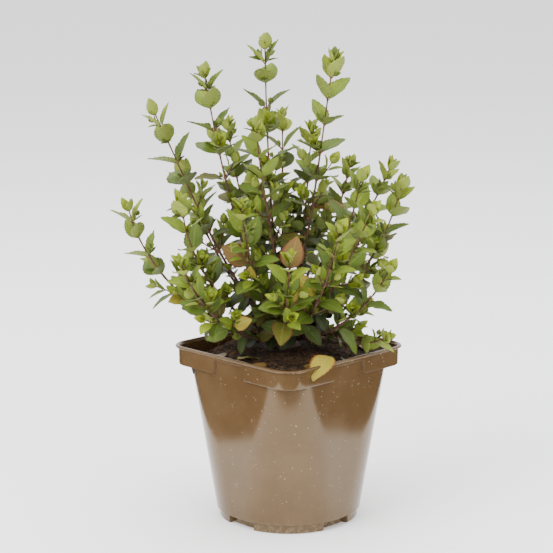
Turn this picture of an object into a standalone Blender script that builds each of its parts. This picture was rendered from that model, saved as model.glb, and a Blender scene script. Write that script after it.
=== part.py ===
"""A potted pink lips salvia: a young leafy shrub in a square nursery pot.

Metres, +Z up. The origin is the middle of the pot's flat underside, z = 0 is what
the pot stands on, and a corner of the pot points to -Y, which is the plant's front.
"""

import math
import random
from collections import namedtuple

import bmesh
import bpy
from mathutils import Vector
from mathutils.bvhtree import BVHTree

OBJECT_NAME = "potted_salvia"

# The pot: a square rim that runs down to a round foot.
POT_HEIGHT = 0.174
RIM_HALF = 0.085
RIM_CORNER = 0.020
BEAD_DEPTH = 0.003
BEAD_OUT = 0.0012
COLLAR_DEPTH = 0.0194
LIP_DEPTH = 0.0060
COLLAR_HALF = 0.0830
COLLAR_CORNER = 0.0212
WALL_TOP_HALF = 0.0803
WALL_TOP_CORNER = 0.037
WALL_FOOT_HALF = 0.0698
WALL_FOOT_CORNER = 0.0650
FOOT_HEIGHT = 0.0089
FOOT_HALF = 0.0668
FOOT_CORNER = 0.0620
WALL = 0.0014
FLOOR = 0.0020
POCKET_DEPTH = 0.0060
STEP = 0.0003
NOTCH_ANGLE = 12.9
NOTCH_END_TOP = 13.4
NOTCH_END_FOOT = 14.6
SIDE_ANGLES = (0.0, NOTCH_ANGLE, NOTCH_END_FOOT, 26.6, 32.0, 37.5, 41.2)
SIDES = 4

# The compost: a mound round the woody stock that has shrunk from the left corner.
GAP = 0.0003
SOIL_LEVEL = POT_HEIGHT - 0.0085
MOUND = 0.0065
MOUND_REACH = 0.045
SOIL_DROP = 0.0085
DROP_START = 0.045
DROP_REACH = 0.045
BUMP = 0.0009
PAD_RADIUS = 0.0175
SHRINKAGE = 0.8
SOIL_RINGS = (0.76, 0.42)

# The woody stock at soil level, which every shoot starts from.
STOCK_X = -0.004
STOCK_FLARE = 0.0155
STOCK_WAIST = 0.0115
STOCK_HEIGHT = 0.0190
STOCK_NECK = 0.4
STOCK_SHARES = (0.0, 0.14, STOCK_NECK, 0.58, 0.74, 0.87, 0.96)
STOCK_SIDES = 16
STOCK_LOBES = 5
LOBE_DEPTH = 0.07
STOCK_Z = SOIL_LEVEL + MOUND + GAP

# The shoots: where each tip stands, how far below its chord the shoot starts (in
# degrees), how long its internodes and leaves are beside the usual, and the share
# of it that is a bare bough.
Shoot = namedtuple("Shoot", "name tip arch vigour bare")
SHOOTS = (
    Shoot("tall_mid", (-0.023, 0.012, 0.465), 6.0, 1.10, 0.30),
    Shoot("tall_right", (0.042, -0.022, 0.454), 1.0, 1.16, 0.30),
    Shoot("tall_left", (-0.080, -0.020, 0.440), 7.0, 1.00, 0.32),
    Shoot("outer_left", (-0.130, 0.006, 0.402), 3.0, 1.00, 0.34),
    Shoot("inner_left", (-0.031, -0.048, 0.393), 4.0, 0.90, 0.32),
    Shoot("inner_right", (0.023, 0.040, 0.380), 3.0, 0.95, 0.34),
    Shoot("right_mid", (0.068, -0.048, 0.345), 14.0, 0.92, 0.34),
    Shoot("right_back", (0.100, 0.030, 0.345), 8.0, 0.92, 0.36),
    Shoot("right_outer", (0.109, -0.012, 0.332), 20.0, 0.92, 0.36),
    Shoot("left_front", (-0.101, -0.070, 0.325), 31.0, 0.92, 0.36),
    Shoot("left_low", (-0.154, -0.026, 0.313), 34.0, 0.95, 0.40),
    Shoot("front_left", (-0.045, -0.090, 0.324), 12.0, 0.84, 0.34),
    Shoot("right_front", (0.076, -0.080, 0.318), 9.0, 0.86, 0.34),
    Shoot("front_right", (0.046, -0.108, 0.306), 20.0, 0.84, 0.34),
    Shoot("front_mid", (0.000, -0.116, 0.280), 20.0, 0.82, 0.34),
    Shoot("front_outer", (-0.100, -0.112, 0.276), 28.0, 0.82, 0.38),
    Shoot("front_east", (0.094, -0.072, 0.262), 26.0, 0.82, 0.38),
    Shoot("back_mid", (-0.006, 0.080, 0.388), 6.0, 0.95, 0.34),
    Shoot("back_left", (-0.061, 0.066, 0.380), 6.0, 0.95, 0.34),
    Shoot("back_right", (0.062, 0.066, 0.342), 10.0, 0.90, 0.34),
    Shoot("back_west", (-0.108, 0.066, 0.336), 14.0, 0.90, 0.36),
    Shoot("back_far", (-0.039, 0.124, 0.324), 20.0, 0.86, 0.36),
    Shoot("back_east", (0.096, 0.066, 0.272), 22.0, 0.86, 0.38),
    Shoot("back_low", (0.034, 0.124, 0.300), 26.0, 0.84, 0.38),
    Shoot("heart_left", (-0.028, -0.056, 0.246), 10.0, 0.66, 0.26),
    Shoot("heart_right", (0.020, -0.058, 0.240), 10.0, 0.66, 0.26),
    Shoot("creeping_mid", (0.066, -0.024, 0.196), 12.0, 0.72, 0.42),
    Shoot("creeping_right", (0.092, -0.044, 0.190), 24.0, 0.80, 0.46),
)
SHOOT_STEPS = 40
BASE_SPACING = math.radians(25.0)
BASE_ROUNDS = 200
LOWEST_BASE = 0.08
SHOOT_EASE = 0.34

# Stems: square bare boughs, as a sage's stems are, and three-sided twigs in the foliage.
BOUGH_FOOT_RADIUS = 0.0017
BOUGH_TIP_RADIUS = 0.0013
BOUGH_SIDES = 4
BOUGH_RINGS = 6
TWIG_SIDES = 3
TWIG_STEP = 0.030
STEM_RADIUS = 0.0013
STEM_TIP_RADIUS = 0.0007
BRANCH_RADIUS = 0.0008
BRANCH_TIP_RADIUS = 0.0006

# Leaves stand in crossed pairs; sizes and angles run from the tip downwards.
TIP_CLEAR = 0.0035
INTERNODE = 0.0250
INTERNODE_RISE = 1.6
LEAF_LENGTH = 0.0265
LEAF_ASPECT = 0.60
LEAF_YOUNG = 0.52
LEAF_RISE = 2.2
LEAF_OLD_FROM = 5
LEAF_OLD_LOSS = 0.030
LEAF_OLD_LEAST = 0.6
LENGTH_SPREAD = (0.84, 1.10)
WIDTH_SPREAD = (0.86, 1.12)
ANGLE_YOUNG = 24.0
ANGLE_STEP = 8.0
ANGLE_MOST = 88.0
ANGLE_SPREAD = 9.0
START_SPREAD = 29.0
PAIR_SPREAD = 14.0
HALF_SPREAD = 8.0
DROP_FROM = 7
DROP_RISE = 3.0
DROP_CHANCE = 0.22

# Side branches grow from the axils under the tip.
BRANCH_FROM = 4
BRANCH_CHANCE = 0.42
BRANCH_SHORT = 0.020
BRANCH_GROWTH = 0.0055
BRANCH_LONG = 0.052
BRANCH_SPREAD = (0.75, 1.20)
BRANCH_ANGLE = 42.0
BRANCH_ANGLE_SPREAD = (-10.0, 12.0)
BRANCH_TURN_SPREAD = 15.0
BRANCH_LIFT = 0.70
BRANCH_BEND = 0.4
BRANCH_EASE = 0.33
BRANCH_STEPS = 4
BRANCH_RINGS = 3
BRANCH_SCALE = 0.72
BRANCH_VIGOUR = 0.7
BRANCH_LEAFY = 0.8

# A solid leaf, and what the solids keep of the rule: they hold fewer and larger leaves
# than the plant.
SOLID_LEAF_SCALE = 1.22
LEAF_THICKNESS = 0.00085
LEAF_SINK = 0.0002
LEAF_CURL = 0.09
LEAF_MIDDLE = 0.42
LEAF_WIDEST = 0.54
SMALLEST_LEAF = 0.0095
SHORTEST_BRANCH = 0.020
MOST_LEAVES = 23
CLEARANCE = 0.0004

TAU = 2.0 * math.pi


def clear_scene():
    """Remove every object that is in the scene."""
    for found in list(bpy.data.objects):
        bpy.data.objects.remove(found, do_unlink=True)


def make_material(name, colour, roughness):
    """Return a plain Principled BSDF material."""
    material = bpy.data.materials.new(name)
    material.use_nodes = True
    shader = material.node_tree.nodes["Principled BSDF"]
    shader.inputs["Base Color"].default_value = (*colour, 1.0)
    shader.inputs["Roughness"].default_value = roughness
    shader.inputs["Metallic"].default_value = 0.0
    return material


def mesh_object(name, bm, collection, material=None):
    """Turn a bmesh into an object of the collection."""
    bm.normal_update()
    mesh = bpy.data.meshes.new(name)
    bm.to_mesh(mesh)
    bm.free()
    made = bpy.data.objects.new(name, mesh)
    collection.objects.link(made)
    if material:
        mesh.materials.append(material)
    return made


# The pot and the compost

def square_radius(angle, half, corner):
    """Distance from the middle to a rounded square, at an angle from a side's normal."""
    fold = abs((math.degrees(angle) + 45.0) % 90.0 - 45.0)
    fold = math.radians(fold)
    inner = half - corner
    if half * math.tan(fold) <= inner:
        return half / math.cos(fold)
    along = inner * (math.cos(fold) + math.sin(fold))
    return along + math.sqrt(along * along - 2.0 * inner * inner + corner * corner)


def column_angles():
    """Return (degrees from a side's middle, side number) for each column of the pot."""
    columns = []
    for side in range(SIDES):
        for angle in reversed(SIDE_ANGLES[1:]):
            columns.append((-angle, side))
        for angle in SIDE_ANGLES:
            columns.append((angle, side))
        columns.append((45.0, side))
    return columns


COLUMNS = column_angles()


def in_notch(column):
    """True for the columns in the middle of a side, where the collar is cut short."""
    return abs(column[0]) <= NOTCH_ANGLE


def pot_point(column, half, corner, z, at_top=False):
    """Point of one column on a rounded square at height z."""
    angle, side = column
    if at_top and abs(angle) == NOTCH_END_FOOT:
        angle = math.copysign(NOTCH_END_TOP, angle)
    turn = math.radians(angle)
    reach = square_radius(turn, half, corner)
    heading = turn + math.radians(45.0 + 90.0 * side)
    return Vector((reach * math.cos(heading), reach * math.sin(heading), z))


def wall_at(z):
    """Half side and corner radius of the outer wall at height z."""
    share = (z - FOOT_HEIGHT) / (POT_HEIGHT - LIP_DEPTH - FOOT_HEIGHT)
    half = WALL_FOOT_HALF + (WALL_TOP_HALF - WALL_FOOT_HALF) * share
    corner = WALL_FOOT_CORNER + (WALL_TOP_CORNER - WALL_FOOT_CORNER) * share
    return half, corner


def shoulder_z(column):
    """Height of the step under the collar, which is higher in a notch."""
    return POT_HEIGHT - (LIP_DEPTH if in_notch(column) else COLLAR_DEPTH)


def pocket(column):
    """How far the foot steps in at this column, for the drainage pockets."""
    return POCKET_DEPTH if in_notch(column) else 0.0


def outer_rings():
    """Rings of the pot's outer skin, from the underside to the rim."""
    rings = [[], [], [], [], [], [], [], []]
    for column in COLUMNS:
        inset = pocket(column)
        step_z = shoulder_z(column)
        half, corner = wall_at(step_z)
        bead_half = COLLAR_HALF + BEAD_OUT
        bead_z = POT_HEIGHT - BEAD_DEPTH
        rings[0].append(pot_point(column, FOOT_HALF - inset, FOOT_CORNER - inset, 0.0))
        rings[1].append(pot_point(column, FOOT_HALF - inset, FOOT_CORNER - inset, FOOT_HEIGHT - STEP))
        rings[2].append(pot_point(column, WALL_FOOT_HALF, WALL_FOOT_CORNER, FOOT_HEIGHT))
        rings[3].append(pot_point(column, half, corner, step_z))
        rings[4].append(pot_point(column, COLLAR_HALF, COLLAR_CORNER, step_z + STEP))
        rings[5].append(pot_point(column, bead_half - BEAD_OUT * 0.6, RIM_CORNER, bead_z, True))
        rings[6].append(pot_point(column, RIM_HALF, RIM_CORNER, bead_z + STEP * 2.0, True))
        rings[7].append(pot_point(column, RIM_HALF - STEP, RIM_CORNER - STEP, POT_HEIGHT, True))
    return rings


def inner_rings(gap):
    """Rings of the pot's inner skin, from the floor to the collar, moved in by gap."""
    rings = [[], [], [], [], []]
    inset = WALL + gap
    for column in COLUMNS:
        deep = inset + pocket(column)
        step_z = shoulder_z(column) + WALL + gap
        half, corner = wall_at(step_z)
        roof_z = FOOT_HEIGHT + WALL + gap
        rings[0].append(pot_point(column, FOOT_HALF - deep, FOOT_CORNER - deep, FLOOR + gap))
        rings[1].append(pot_point(column, FOOT_HALF - deep, FOOT_CORNER - deep, roof_z - STEP))
        rings[2].append(pot_point(column, WALL_FOOT_HALF - inset, WALL_FOOT_CORNER - inset, roof_z))
        rings[3].append(pot_point(column, half - inset, corner - inset, step_z - STEP))
        rings[4].append(pot_point(column, COLLAR_HALF - inset, COLLAR_CORNER - inset, step_z))
    return rings


def add_rings(bm, rings):
    """Add the rings' vertices."""
    return [[bm.verts.new(point) for point in ring] for ring in rings]


def join_rings(bm, lower, upper, outwards=True):
    """Add two triangles a column between two rings, always on the same diagonal."""
    count = len(lower)
    for i in range(count):
        j = (i + 1) % count
        corners = ((lower[i], lower[j], upper[j]), (lower[i], upper[j], upper[i]))
        for corner in corners:
            bm.faces.new(corner if outwards else tuple(reversed(corner)))


def cap_ring(bm, ring, centre, upwards):
    """Close a ring with a fan to a middle vertex."""
    hub = bm.verts.new(centre)
    count = len(ring)
    for i in range(count):
        j = (i + 1) % count
        fan = (ring[i], ring[j], hub)
        bm.faces.new(fan if upwards else tuple(reversed(fan)))


def build_pot(collection, material):
    """The nursery pot, one thin-walled moulding."""
    bm = bmesh.new()
    outer = add_rings(bm, outer_rings())
    inner = add_rings(bm, inner_rings(0.0))
    lip = [pot_point(c, RIM_HALF - WALL * 1.6, RIM_CORNER - WALL * 1.6, POT_HEIGHT, True) for c in COLUMNS]
    lip = add_rings(bm, [lip])[0]
    for lower, upper in zip(outer, outer[1:]):
        join_rings(bm, lower, upper)
    for lower, upper in zip(inner, inner[1:]):
        join_rings(bm, lower, upper, outwards=False)
    join_rings(bm, inner[-1], lip, outwards=False)
    join_rings(bm, outer[-1], lip)
    cap_ring(bm, outer[0], (0.0, 0.0, 0.0), upwards=False)
    cap_ring(bm, inner[0], (0.0, 0.0, FLOOR), upwards=True)
    return mesh_object("pot", bm, collection, material)


def ease(value):
    """Smooth step from 0 to 1."""
    value = min(1.0, max(0.0, value))
    return value * value * (3.0 - 2.0 * value)


def soil_height(x, y):
    """Height of the compost: a mound, lower at the left corner, with small bumps."""
    away = max(0.0, math.hypot(x - STOCK_X, y) - PAD_RADIUS)
    height = SOIL_LEVEL + MOUND * math.exp(-((away / MOUND_REACH) ** 2))
    height -= SOIL_DROP * ease((-x - DROP_START) / DROP_REACH)
    bumps = math.sin(x * 190.0 + 0.6) * math.sin(y * 170.0 + 1.1)
    return height + BUMP * bumps * ease(away / PAD_RADIUS)


def soil_rings():
    """Rings of the compost against the pot, and the edge of its surface."""
    rings = inner_rings(GAP)
    inset = WALL + GAP
    edges = []
    for i, column in enumerate(COLUMNS):
        if abs(column[0]) <= NOTCH_END_FOOT:
            half, corner = wall_at(SOIL_LEVEL)
            edge = pot_point(column, half - inset, corner - inset, SOIL_LEVEL)
            level = soil_height(edge.x, edge.y)
            half, corner = wall_at(level - STEP * 2.0)
            rings[3][i] = pot_point(column, half - inset, corner - inset, level - STEP * 2.0)
            rings[4][i] = pot_point(column, half - inset, corner - inset, level - STEP)
            edge = pot_point(column, half - inset, corner - inset, level)
        else:
            ledge, wall = rings[4][i], rings[3][i]
            left = ease((-ledge.x - DROP_START) / DROP_REACH)
            share = 1.0 - SHRINKAGE * left * (1.0 - wall.xy.length / ledge.xy.length)
            edge = Vector((ledge.x * share, ledge.y * share, 0.0))
            edge.z = soil_height(edge.x, edge.y)
        edges.append(edge)
    return rings, edges


def build_soil(collection, material):
    """The root ball and compost that fill the pot, 0.3 mm clear of it."""
    bm = bmesh.new()
    rings, edges = soil_rings()
    surface = [edges]
    for share in SOIL_RINGS:
        ring = []
        for edge in edges:
            x = STOCK_X + (edge.x - STOCK_X) * share
            y = edge.y * share
            ring.append(Vector((x, y, soil_height(x, y))))
        surface.append(ring)
    pad = []
    for edge in edges:
        heading = Vector((edge.x - STOCK_X, edge.y, 0.0)).normalized()
        pad.append(Vector((STOCK_X, 0.0, SOIL_LEVEL + MOUND)) + heading * PAD_RADIUS)
    surface.append(pad)
    skins = add_rings(bm, rings + surface)
    for lower, upper in zip(skins, skins[1:]):
        join_rings(bm, lower, upper)
    cap_ring(bm, skins[0], (0.0, 0.0, FLOOR + GAP), upwards=False)
    cap_ring(bm, skins[-1], (STOCK_X, 0.0, SOIL_LEVEL + MOUND), upwards=True)
    return mesh_object("soil", bm, collection, material)


# The stock, the shoots and their curves

def stock_radius(turn, share):
    """Radius of the woody stock at a share of its height, with lobes at its flare."""
    if share < STOCK_NECK:
        flare = 1.0 - share / STOCK_NECK
        radius = STOCK_WAIST + (STOCK_FLARE - STOCK_WAIST) * flare ** 1.5
        return radius * (1.0 + LOBE_DEPTH * flare * math.cos(STOCK_LOBES * turn))
    rise = (share - STOCK_NECK) / (1.0 - STOCK_NECK)
    return STOCK_WAIST * math.sqrt(max(0.0, 1.0 - rise * rise))


def build_stock(collection, material):
    """The short woody stock, cut flat at soil level and domed where shoots start."""
    bm = bmesh.new()
    rings = []
    for share in STOCK_SHARES:
        ring = []
        for k in range(STOCK_SIDES):
            turn = TAU * k / STOCK_SIDES
            radius = stock_radius(turn, share)
            z = STOCK_Z + STOCK_HEIGHT * share
            ring.append(Vector((STOCK_X + radius * math.cos(turn), radius * math.sin(turn), z)))
        rings.append(ring)
    skins = add_rings(bm, rings)
    for lower, upper in zip(skins, skins[1:]):
        join_rings(bm, lower, upper)
    cap_ring(bm, skins[0], (STOCK_X, 0.0, STOCK_Z), upwards=False)
    cap_ring(bm, skins[-1], (STOCK_X, 0.0, STOCK_Z + STOCK_HEIGHT), upwards=True)
    return mesh_object("stock", bm, collection, material)


def dome_centre():
    """Middle of the dome at the top of the stock."""
    return Vector((STOCK_X, 0.0, STOCK_Z + STOCK_HEIGHT * STOCK_NECK))


def dome_foot(heading):
    """Point on the dome in a direction, and the dome's normal there."""
    radii = Vector((STOCK_WAIST, STOCK_WAIST, STOCK_HEIGHT * (1.0 - STOCK_NECK)))
    scaled = Vector((heading.x / radii.x, heading.y / radii.y, heading.z / radii.z))
    point = heading / scaled.length
    normal = Vector((point.x / radii.x ** 2, point.y / radii.y ** 2, point.z / radii.z ** 2))
    return dome_centre() + point, normal.normalized()


def start_headings():
    """Directions in which the shoots leave the stock, eased apart from each other."""
    headings = []
    for shoot in SHOOTS:
        chord = Vector(shoot.tip) - dome_centre()
        level = math.hypot(chord.x, chord.y)
        rise = math.atan2(chord.z, level) - math.radians(shoot.arch)
        flat = Vector((chord.x, chord.y, 0.0)).normalized()
        headings.append((flat * math.cos(rise) + Vector((0, 0, math.sin(rise)))).normalized())
    for _ in range(BASE_ROUNDS):
        pushes = [Vector((0, 0, 0)) for _ in headings]
        for i, one in enumerate(headings):
            for j in range(i):
                other = headings[j]
                apart = one.angle(other)
                if apart < BASE_SPACING:
                    push = (one - other).normalized() * (BASE_SPACING - apart) * 0.25
                    pushes[i] += push
                    pushes[j] -= push
        headings = [(one + push).normalized() for one, push in zip(headings, pushes)]
        for one in headings:
            one.z = max(one.z, LOWEST_BASE)
            one.normalize()
    return headings


class Course:
    """The curve of one stem, read by its length from the foot."""

    def __init__(self, foot, first, last, tip, steps):
        self.points = []
        for k in range(steps + 1):
            t = k / steps
            u = 1.0 - t
            point = foot * u ** 3 + first * (3 * u * u * t) + last * (3 * u * t * t) + tip * t ** 3
            self.points.append(point)
        self.marks = [0.0]
        for a, b in zip(self.points, self.points[1:]):
            self.marks.append(self.marks[-1] + (b - a).length)
        self.length = self.marks[-1]

    def at(self, distance):
        """Point and direction at a distance from the foot."""
        distance = min(self.length, max(0.0, distance))
        k = 0
        while k < len(self.marks) - 2 and self.marks[k + 1] < distance:
            k += 1
        a, b = self.points[k], self.points[k + 1]
        share = (distance - self.marks[k]) / (self.marks[k + 1] - self.marks[k])
        before = self.points[max(0, k - 1)]
        after = self.points[min(len(self.points) - 1, k + 2)]
        return a.lerp(b, share), (after - before).normalized()


def shoot_course(shoot, heading):
    """Course of a whole shoot from the stock's dome to its tip, and the dome's normal."""
    foot, normal = dome_foot(heading)
    foot += normal * GAP
    tip = Vector(shoot.tip)
    chord = tip - foot
    reach = chord.length
    level = math.hypot(chord.x, chord.y)
    rise = min(math.radians(89.0), math.atan2(chord.z, level) + math.radians(shoot.arch))
    flat = Vector((chord.x, chord.y, 0.0)).normalized()
    finish = flat * math.cos(rise) + Vector((0, 0, math.sin(rise)))
    first = foot + heading * reach * SHOOT_EASE
    last = tip - finish * reach * SHOOT_EASE
    return Course(foot, first, last, tip, SHOOT_STEPS), normal


def steady_side(direction):
    """A level direction square to the given one."""
    side = direction.cross(Vector((0, 0, 1)))
    if side.length < 0.05:
        side = direction.cross(Vector((1, 0, 0)))
    return side.normalized()


def tube(bm, points, directions, radii, sides):
    """Add a closed tube with flat ends through the points."""
    rings = []
    for point, direction, radius in zip(points, directions, radii):
        side = steady_side(direction)
        up = direction.cross(side).normalized()
        ring = []
        for k in range(sides):
            turn = TAU * k / sides
            ring.append(point + (side * math.cos(turn) + up * math.sin(turn)) * radius)
        rings.append(ring)
    skins = add_rings(bm, rings)
    for lower, upper in zip(skins, skins[1:]):
        join_rings(bm, lower, upper)
    bm.faces.new(tuple(reversed(skins[0])))
    bm.faces.new(skins[-1])
    bmesh.ops.recalc_face_normals(bm, faces=bm.faces)


def course_tube(course, start, end, radii, sides, rings, first_direction=None, grow=0.0):
    """A tube along a stretch of a course, as a bmesh."""
    points, directions, sizes = [], [], []
    for k in range(rings):
        share = k / (rings - 1)
        point, direction = course.at(start + (end - start) * share)
        points.append(point)
        directions.append(direction)
        sizes.append(radii[0] + (radii[1] - radii[0]) * share + grow)
    if first_direction is not None:
        directions[0] = first_direction
    bm = bmesh.new()
    tube(bm, points, directions, sizes, sides)
    return bm


# The growth rule

Leaf = namedtuple("Leaf", "root heading face length width")
Branch = namedtuple("Branch", "course scale key")


def draws(*key):
    """A random source of its own for each place on the plant."""
    return random.Random("/".join(str(word) for word in key))


def node_distances(length, vigour):
    """Distances from the tip of the leaf pairs, closer together near the tip."""
    distances = []
    reach = TIP_CLEAR
    while reach < length:
        distances.append(reach)
        reach += INTERNODE * vigour * (1.0 - math.exp(-(len(distances)) / INTERNODE_RISE))
    return distances


def leaf_pair(course, distance, rank, key, scale, vigour):
    """The two opposite leaves of one node, counted from the tip by rank."""
    point, direction = course.at(course.length - distance)
    source = draws(key, "pair", rank)
    side = steady_side(direction)
    up = direction.cross(side)
    turn = 90.0 * rank + source.uniform(-PAIR_SPREAD, PAIR_SPREAD)
    turn += draws(key, "start").uniform(-START_SPREAD, START_SPREAD)
    loss = DROP_CHANCE * min(1.0, max(0, rank - DROP_FROM) / DROP_RISE)
    pair = []
    for half in range(2):
        around = math.radians(turn + 180.0 * half + source.uniform(-HALF_SPREAD, HALF_SPREAD))
        outward = side * math.cos(around) + up * math.sin(around)
        angle = min(ANGLE_MOST, ANGLE_YOUNG + ANGLE_STEP * rank)
        angle = math.radians(angle + source.uniform(-ANGLE_SPREAD, ANGLE_SPREAD))
        heading = (direction * math.cos(angle) + outward * math.sin(angle)).normalized()
        face = (direction * math.sin(angle) - outward * math.cos(angle)).normalized()
        size = LEAF_YOUNG + (1.0 - LEAF_YOUNG) * (1.0 - math.exp(-rank / LEAF_RISE))
        size *= max(LEAF_OLD_LEAST, 1.0 - LEAF_OLD_LOSS * max(0, rank - LEAF_OLD_FROM))
        size *= source.uniform(*LENGTH_SPREAD)
        length = LEAF_LENGTH * size * scale * (0.5 + 0.5 * vigour)
        width = length * LEAF_ASPECT * source.uniform(*WIDTH_SPREAD)
        if source.random() >= loss:
            pair.append(Leaf(point - heading * LEAF_SINK, heading, face, length, width))
    return pair


def side_branches(course, distance, rank, key):
    """The side branches in the two axils of one node."""
    grown = []
    for half in range(2):
        source = draws(key, "branch", rank, half)
        if rank < BRANCH_FROM or source.random() > BRANCH_CHANCE:
            continue
        length = min(BRANCH_LONG, BRANCH_SHORT + BRANCH_GROWTH * (rank - BRANCH_FROM))
        length *= source.uniform(*BRANCH_SPREAD)
        point, direction = course.at(course.length - distance)
        side = steady_side(direction)
        up = direction.cross(side)
        turn = 90.0 * rank + 180.0 * half + source.uniform(-BRANCH_TURN_SPREAD, BRANCH_TURN_SPREAD)
        turn = math.radians(turn)
        outward = side * math.cos(turn) + up * math.sin(turn)
        angle = math.radians(BRANCH_ANGLE + source.uniform(*BRANCH_ANGLE_SPREAD))
        heading = (direction * math.cos(angle) + outward * math.sin(angle)).normalized()
        finish = (heading + Vector((0, 0, BRANCH_LIFT))).normalized()
        tip = point + heading * length * (1.0 - BRANCH_BEND) + finish * length * BRANCH_BEND
        first = point + heading * length * BRANCH_EASE
        last = tip - finish * length * BRANCH_EASE
        line = Course(point, first, last, tip, BRANCH_STEPS)
        grown.append(Branch(line, BRANCH_SCALE, f"{key}/{rank}/{half}"))
    return grown


# Solid leaves and twigs that keep to their own space

def leaf_mesh(leaf, grow=0.0):
    """One leaf as eight faces: a kite with a raised middle above and below."""
    length = leaf.length * SOLID_LEAF_SCALE + grow
    width = leaf.width * SOLID_LEAF_SCALE + grow * 2.0
    thick = LEAF_THICKNESS + grow * 2.0
    across = leaf.heading.cross(leaf.face).normalized()
    face = across.cross(leaf.heading).normalized()
    root = leaf.root - leaf.heading * grow
    tip = root + leaf.heading * length - face * length * LEAF_CURL
    middle = root + leaf.heading * length * LEAF_MIDDLE
    belly = root + leaf.heading * length * LEAF_WIDEST
    bm = bmesh.new()
    corners = [root, belly + across * width / 2, tip, belly - across * width / 2]
    corners = [bm.verts.new(corner) for corner in corners]
    above = bm.verts.new(middle + face * thick / 2)
    below = bm.verts.new(middle - face * thick / 2)
    for i in range(4):
        j = (i + 1) % 4
        bm.faces.new((corners[i], corners[j], above))
        bm.faces.new((corners[j], corners[i], below))
    bmesh.ops.recalc_face_normals(bm, faces=bm.faces)
    return bm


class Space:
    """Keeps what is already placed, so that nothing new touches another piece."""

    def __init__(self):
        self.placed = []
        self.axes = {}

    @staticmethod
    def shape(bm):
        """Tree, middle and radius of a bmesh."""
        bm.verts.ensure_lookup_table()
        tree = BVHTree.FromBMesh(bm)
        middle = sum((v.co for v in bm.verts), Vector()) / len(bm.verts)
        radius = max((v.co - middle).length for v in bm.verts)
        return tree, middle, radius

    def add(self, owner, bm):
        """Note a piece of the owner as placed."""
        self.placed.append((owner, *self.shape(bm)))

    def add_object(self, solid):
        """Note a finished solid as placed."""
        bm = bmesh.new()
        bm.from_mesh(solid.data)
        self.add(solid.name, bm)
        bm.free()

    def free(self, owner, bm):
        """True where the piece touches nothing of any other owner."""
        tree, middle, radius = self.shape(bm)
        for other, other_tree, other_middle, other_radius in self.placed:
            if other == owner:
                continue
            if (middle - other_middle).length > radius + other_radius:
                continue
            if tree.overlap(other_tree):
                return False
        return True

    def own(self, owner, point):
        """True where the point is nearer to the owner's stem than to any other."""
        nearest = {}
        for name, points in self.axes.items():
            nearest[name] = min((point - other).length_squared for other in points)
        return min(nearest, key=nearest.get) == owner


def bough_split(shoot, course):
    """Distance from the foot at which the bare bough ends and the foliage starts."""
    return course.length * shoot.bare


def build_bough(shoot, course, normal, collection, material):
    """The bare lower stretch of a shoot, one tapering limb."""
    end = bough_split(shoot, course)
    radii = (BOUGH_FOOT_RADIUS, BOUGH_TIP_RADIUS)
    bm = course_tube(course, 0.0, end, radii, BOUGH_SIDES, BOUGH_RINGS, normal)
    return mesh_object(f"bough_{shoot.name}", bm, collection, material)


def stem_bmesh(shoot, course, grow=0.0):
    """The stem that runs up through a mass of foliage."""
    start = bough_split(shoot, course) + GAP
    rings = 2 + round((course.length - start) / TWIG_STEP)
    radii = (STEM_RADIUS, STEM_TIP_RADIUS)
    return course_tube(course, start, course.length, radii, TWIG_SIDES, rings, None, grow)


def fuse(name, pieces, collection, material):
    """Join closed pieces into one solid with one Boolean union on a collection."""
    work = bpy.data.collections.new(f"{name}_pieces")
    bpy.context.scene.collection.children.link(work)
    body = mesh_object(name, pieces[0], collection, material)
    for k, piece in enumerate(pieces[1:]):
        mesh_object(f"{name}_piece_{k}", piece, work)
    joint = body.modifiers.new("union", "BOOLEAN")
    joint.operation = "UNION"
    joint.operand_type = "COLLECTION"
    joint.collection = work
    bpy.context.view_layer.update()
    seen = body.evaluated_get(bpy.context.evaluated_depsgraph_get())
    mesh = bpy.data.meshes.new_from_object(seen)
    body.modifiers.clear()
    old = body.data
    body.data = mesh
    mesh.name = name
    bpy.data.meshes.remove(old)
    for piece in list(work.objects):
        data = piece.data
        bpy.data.objects.remove(piece, do_unlink=True)
        bpy.data.meshes.remove(data)
    bpy.data.collections.remove(work)
    if not mesh.materials:
        mesh.materials.append(material)
    keep_largest(body)


def keep_largest(body):
    """Drop loose scrap: keep the connected piece with the most faces."""
    bm = bmesh.new()
    bm.from_mesh(body.data)
    left = set(bm.verts)
    groups = []
    while left:
        seed = left.pop()
        group, edge = {seed}, [seed]
        while edge:
            vertex = edge.pop()
            for link in vertex.link_edges:
                other = link.other_vert(vertex)
                if other not in group:
                    group.add(other)
                    edge.append(other)
        left -= group
        groups.append(group)
    groups.sort(key=len)
    scrap = [vertex for group in groups[:-1] for vertex in group]
    bmesh.ops.delete(bm, geom=scrap, context="VERTS")
    bm.to_mesh(body.data)
    bm.free()


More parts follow.
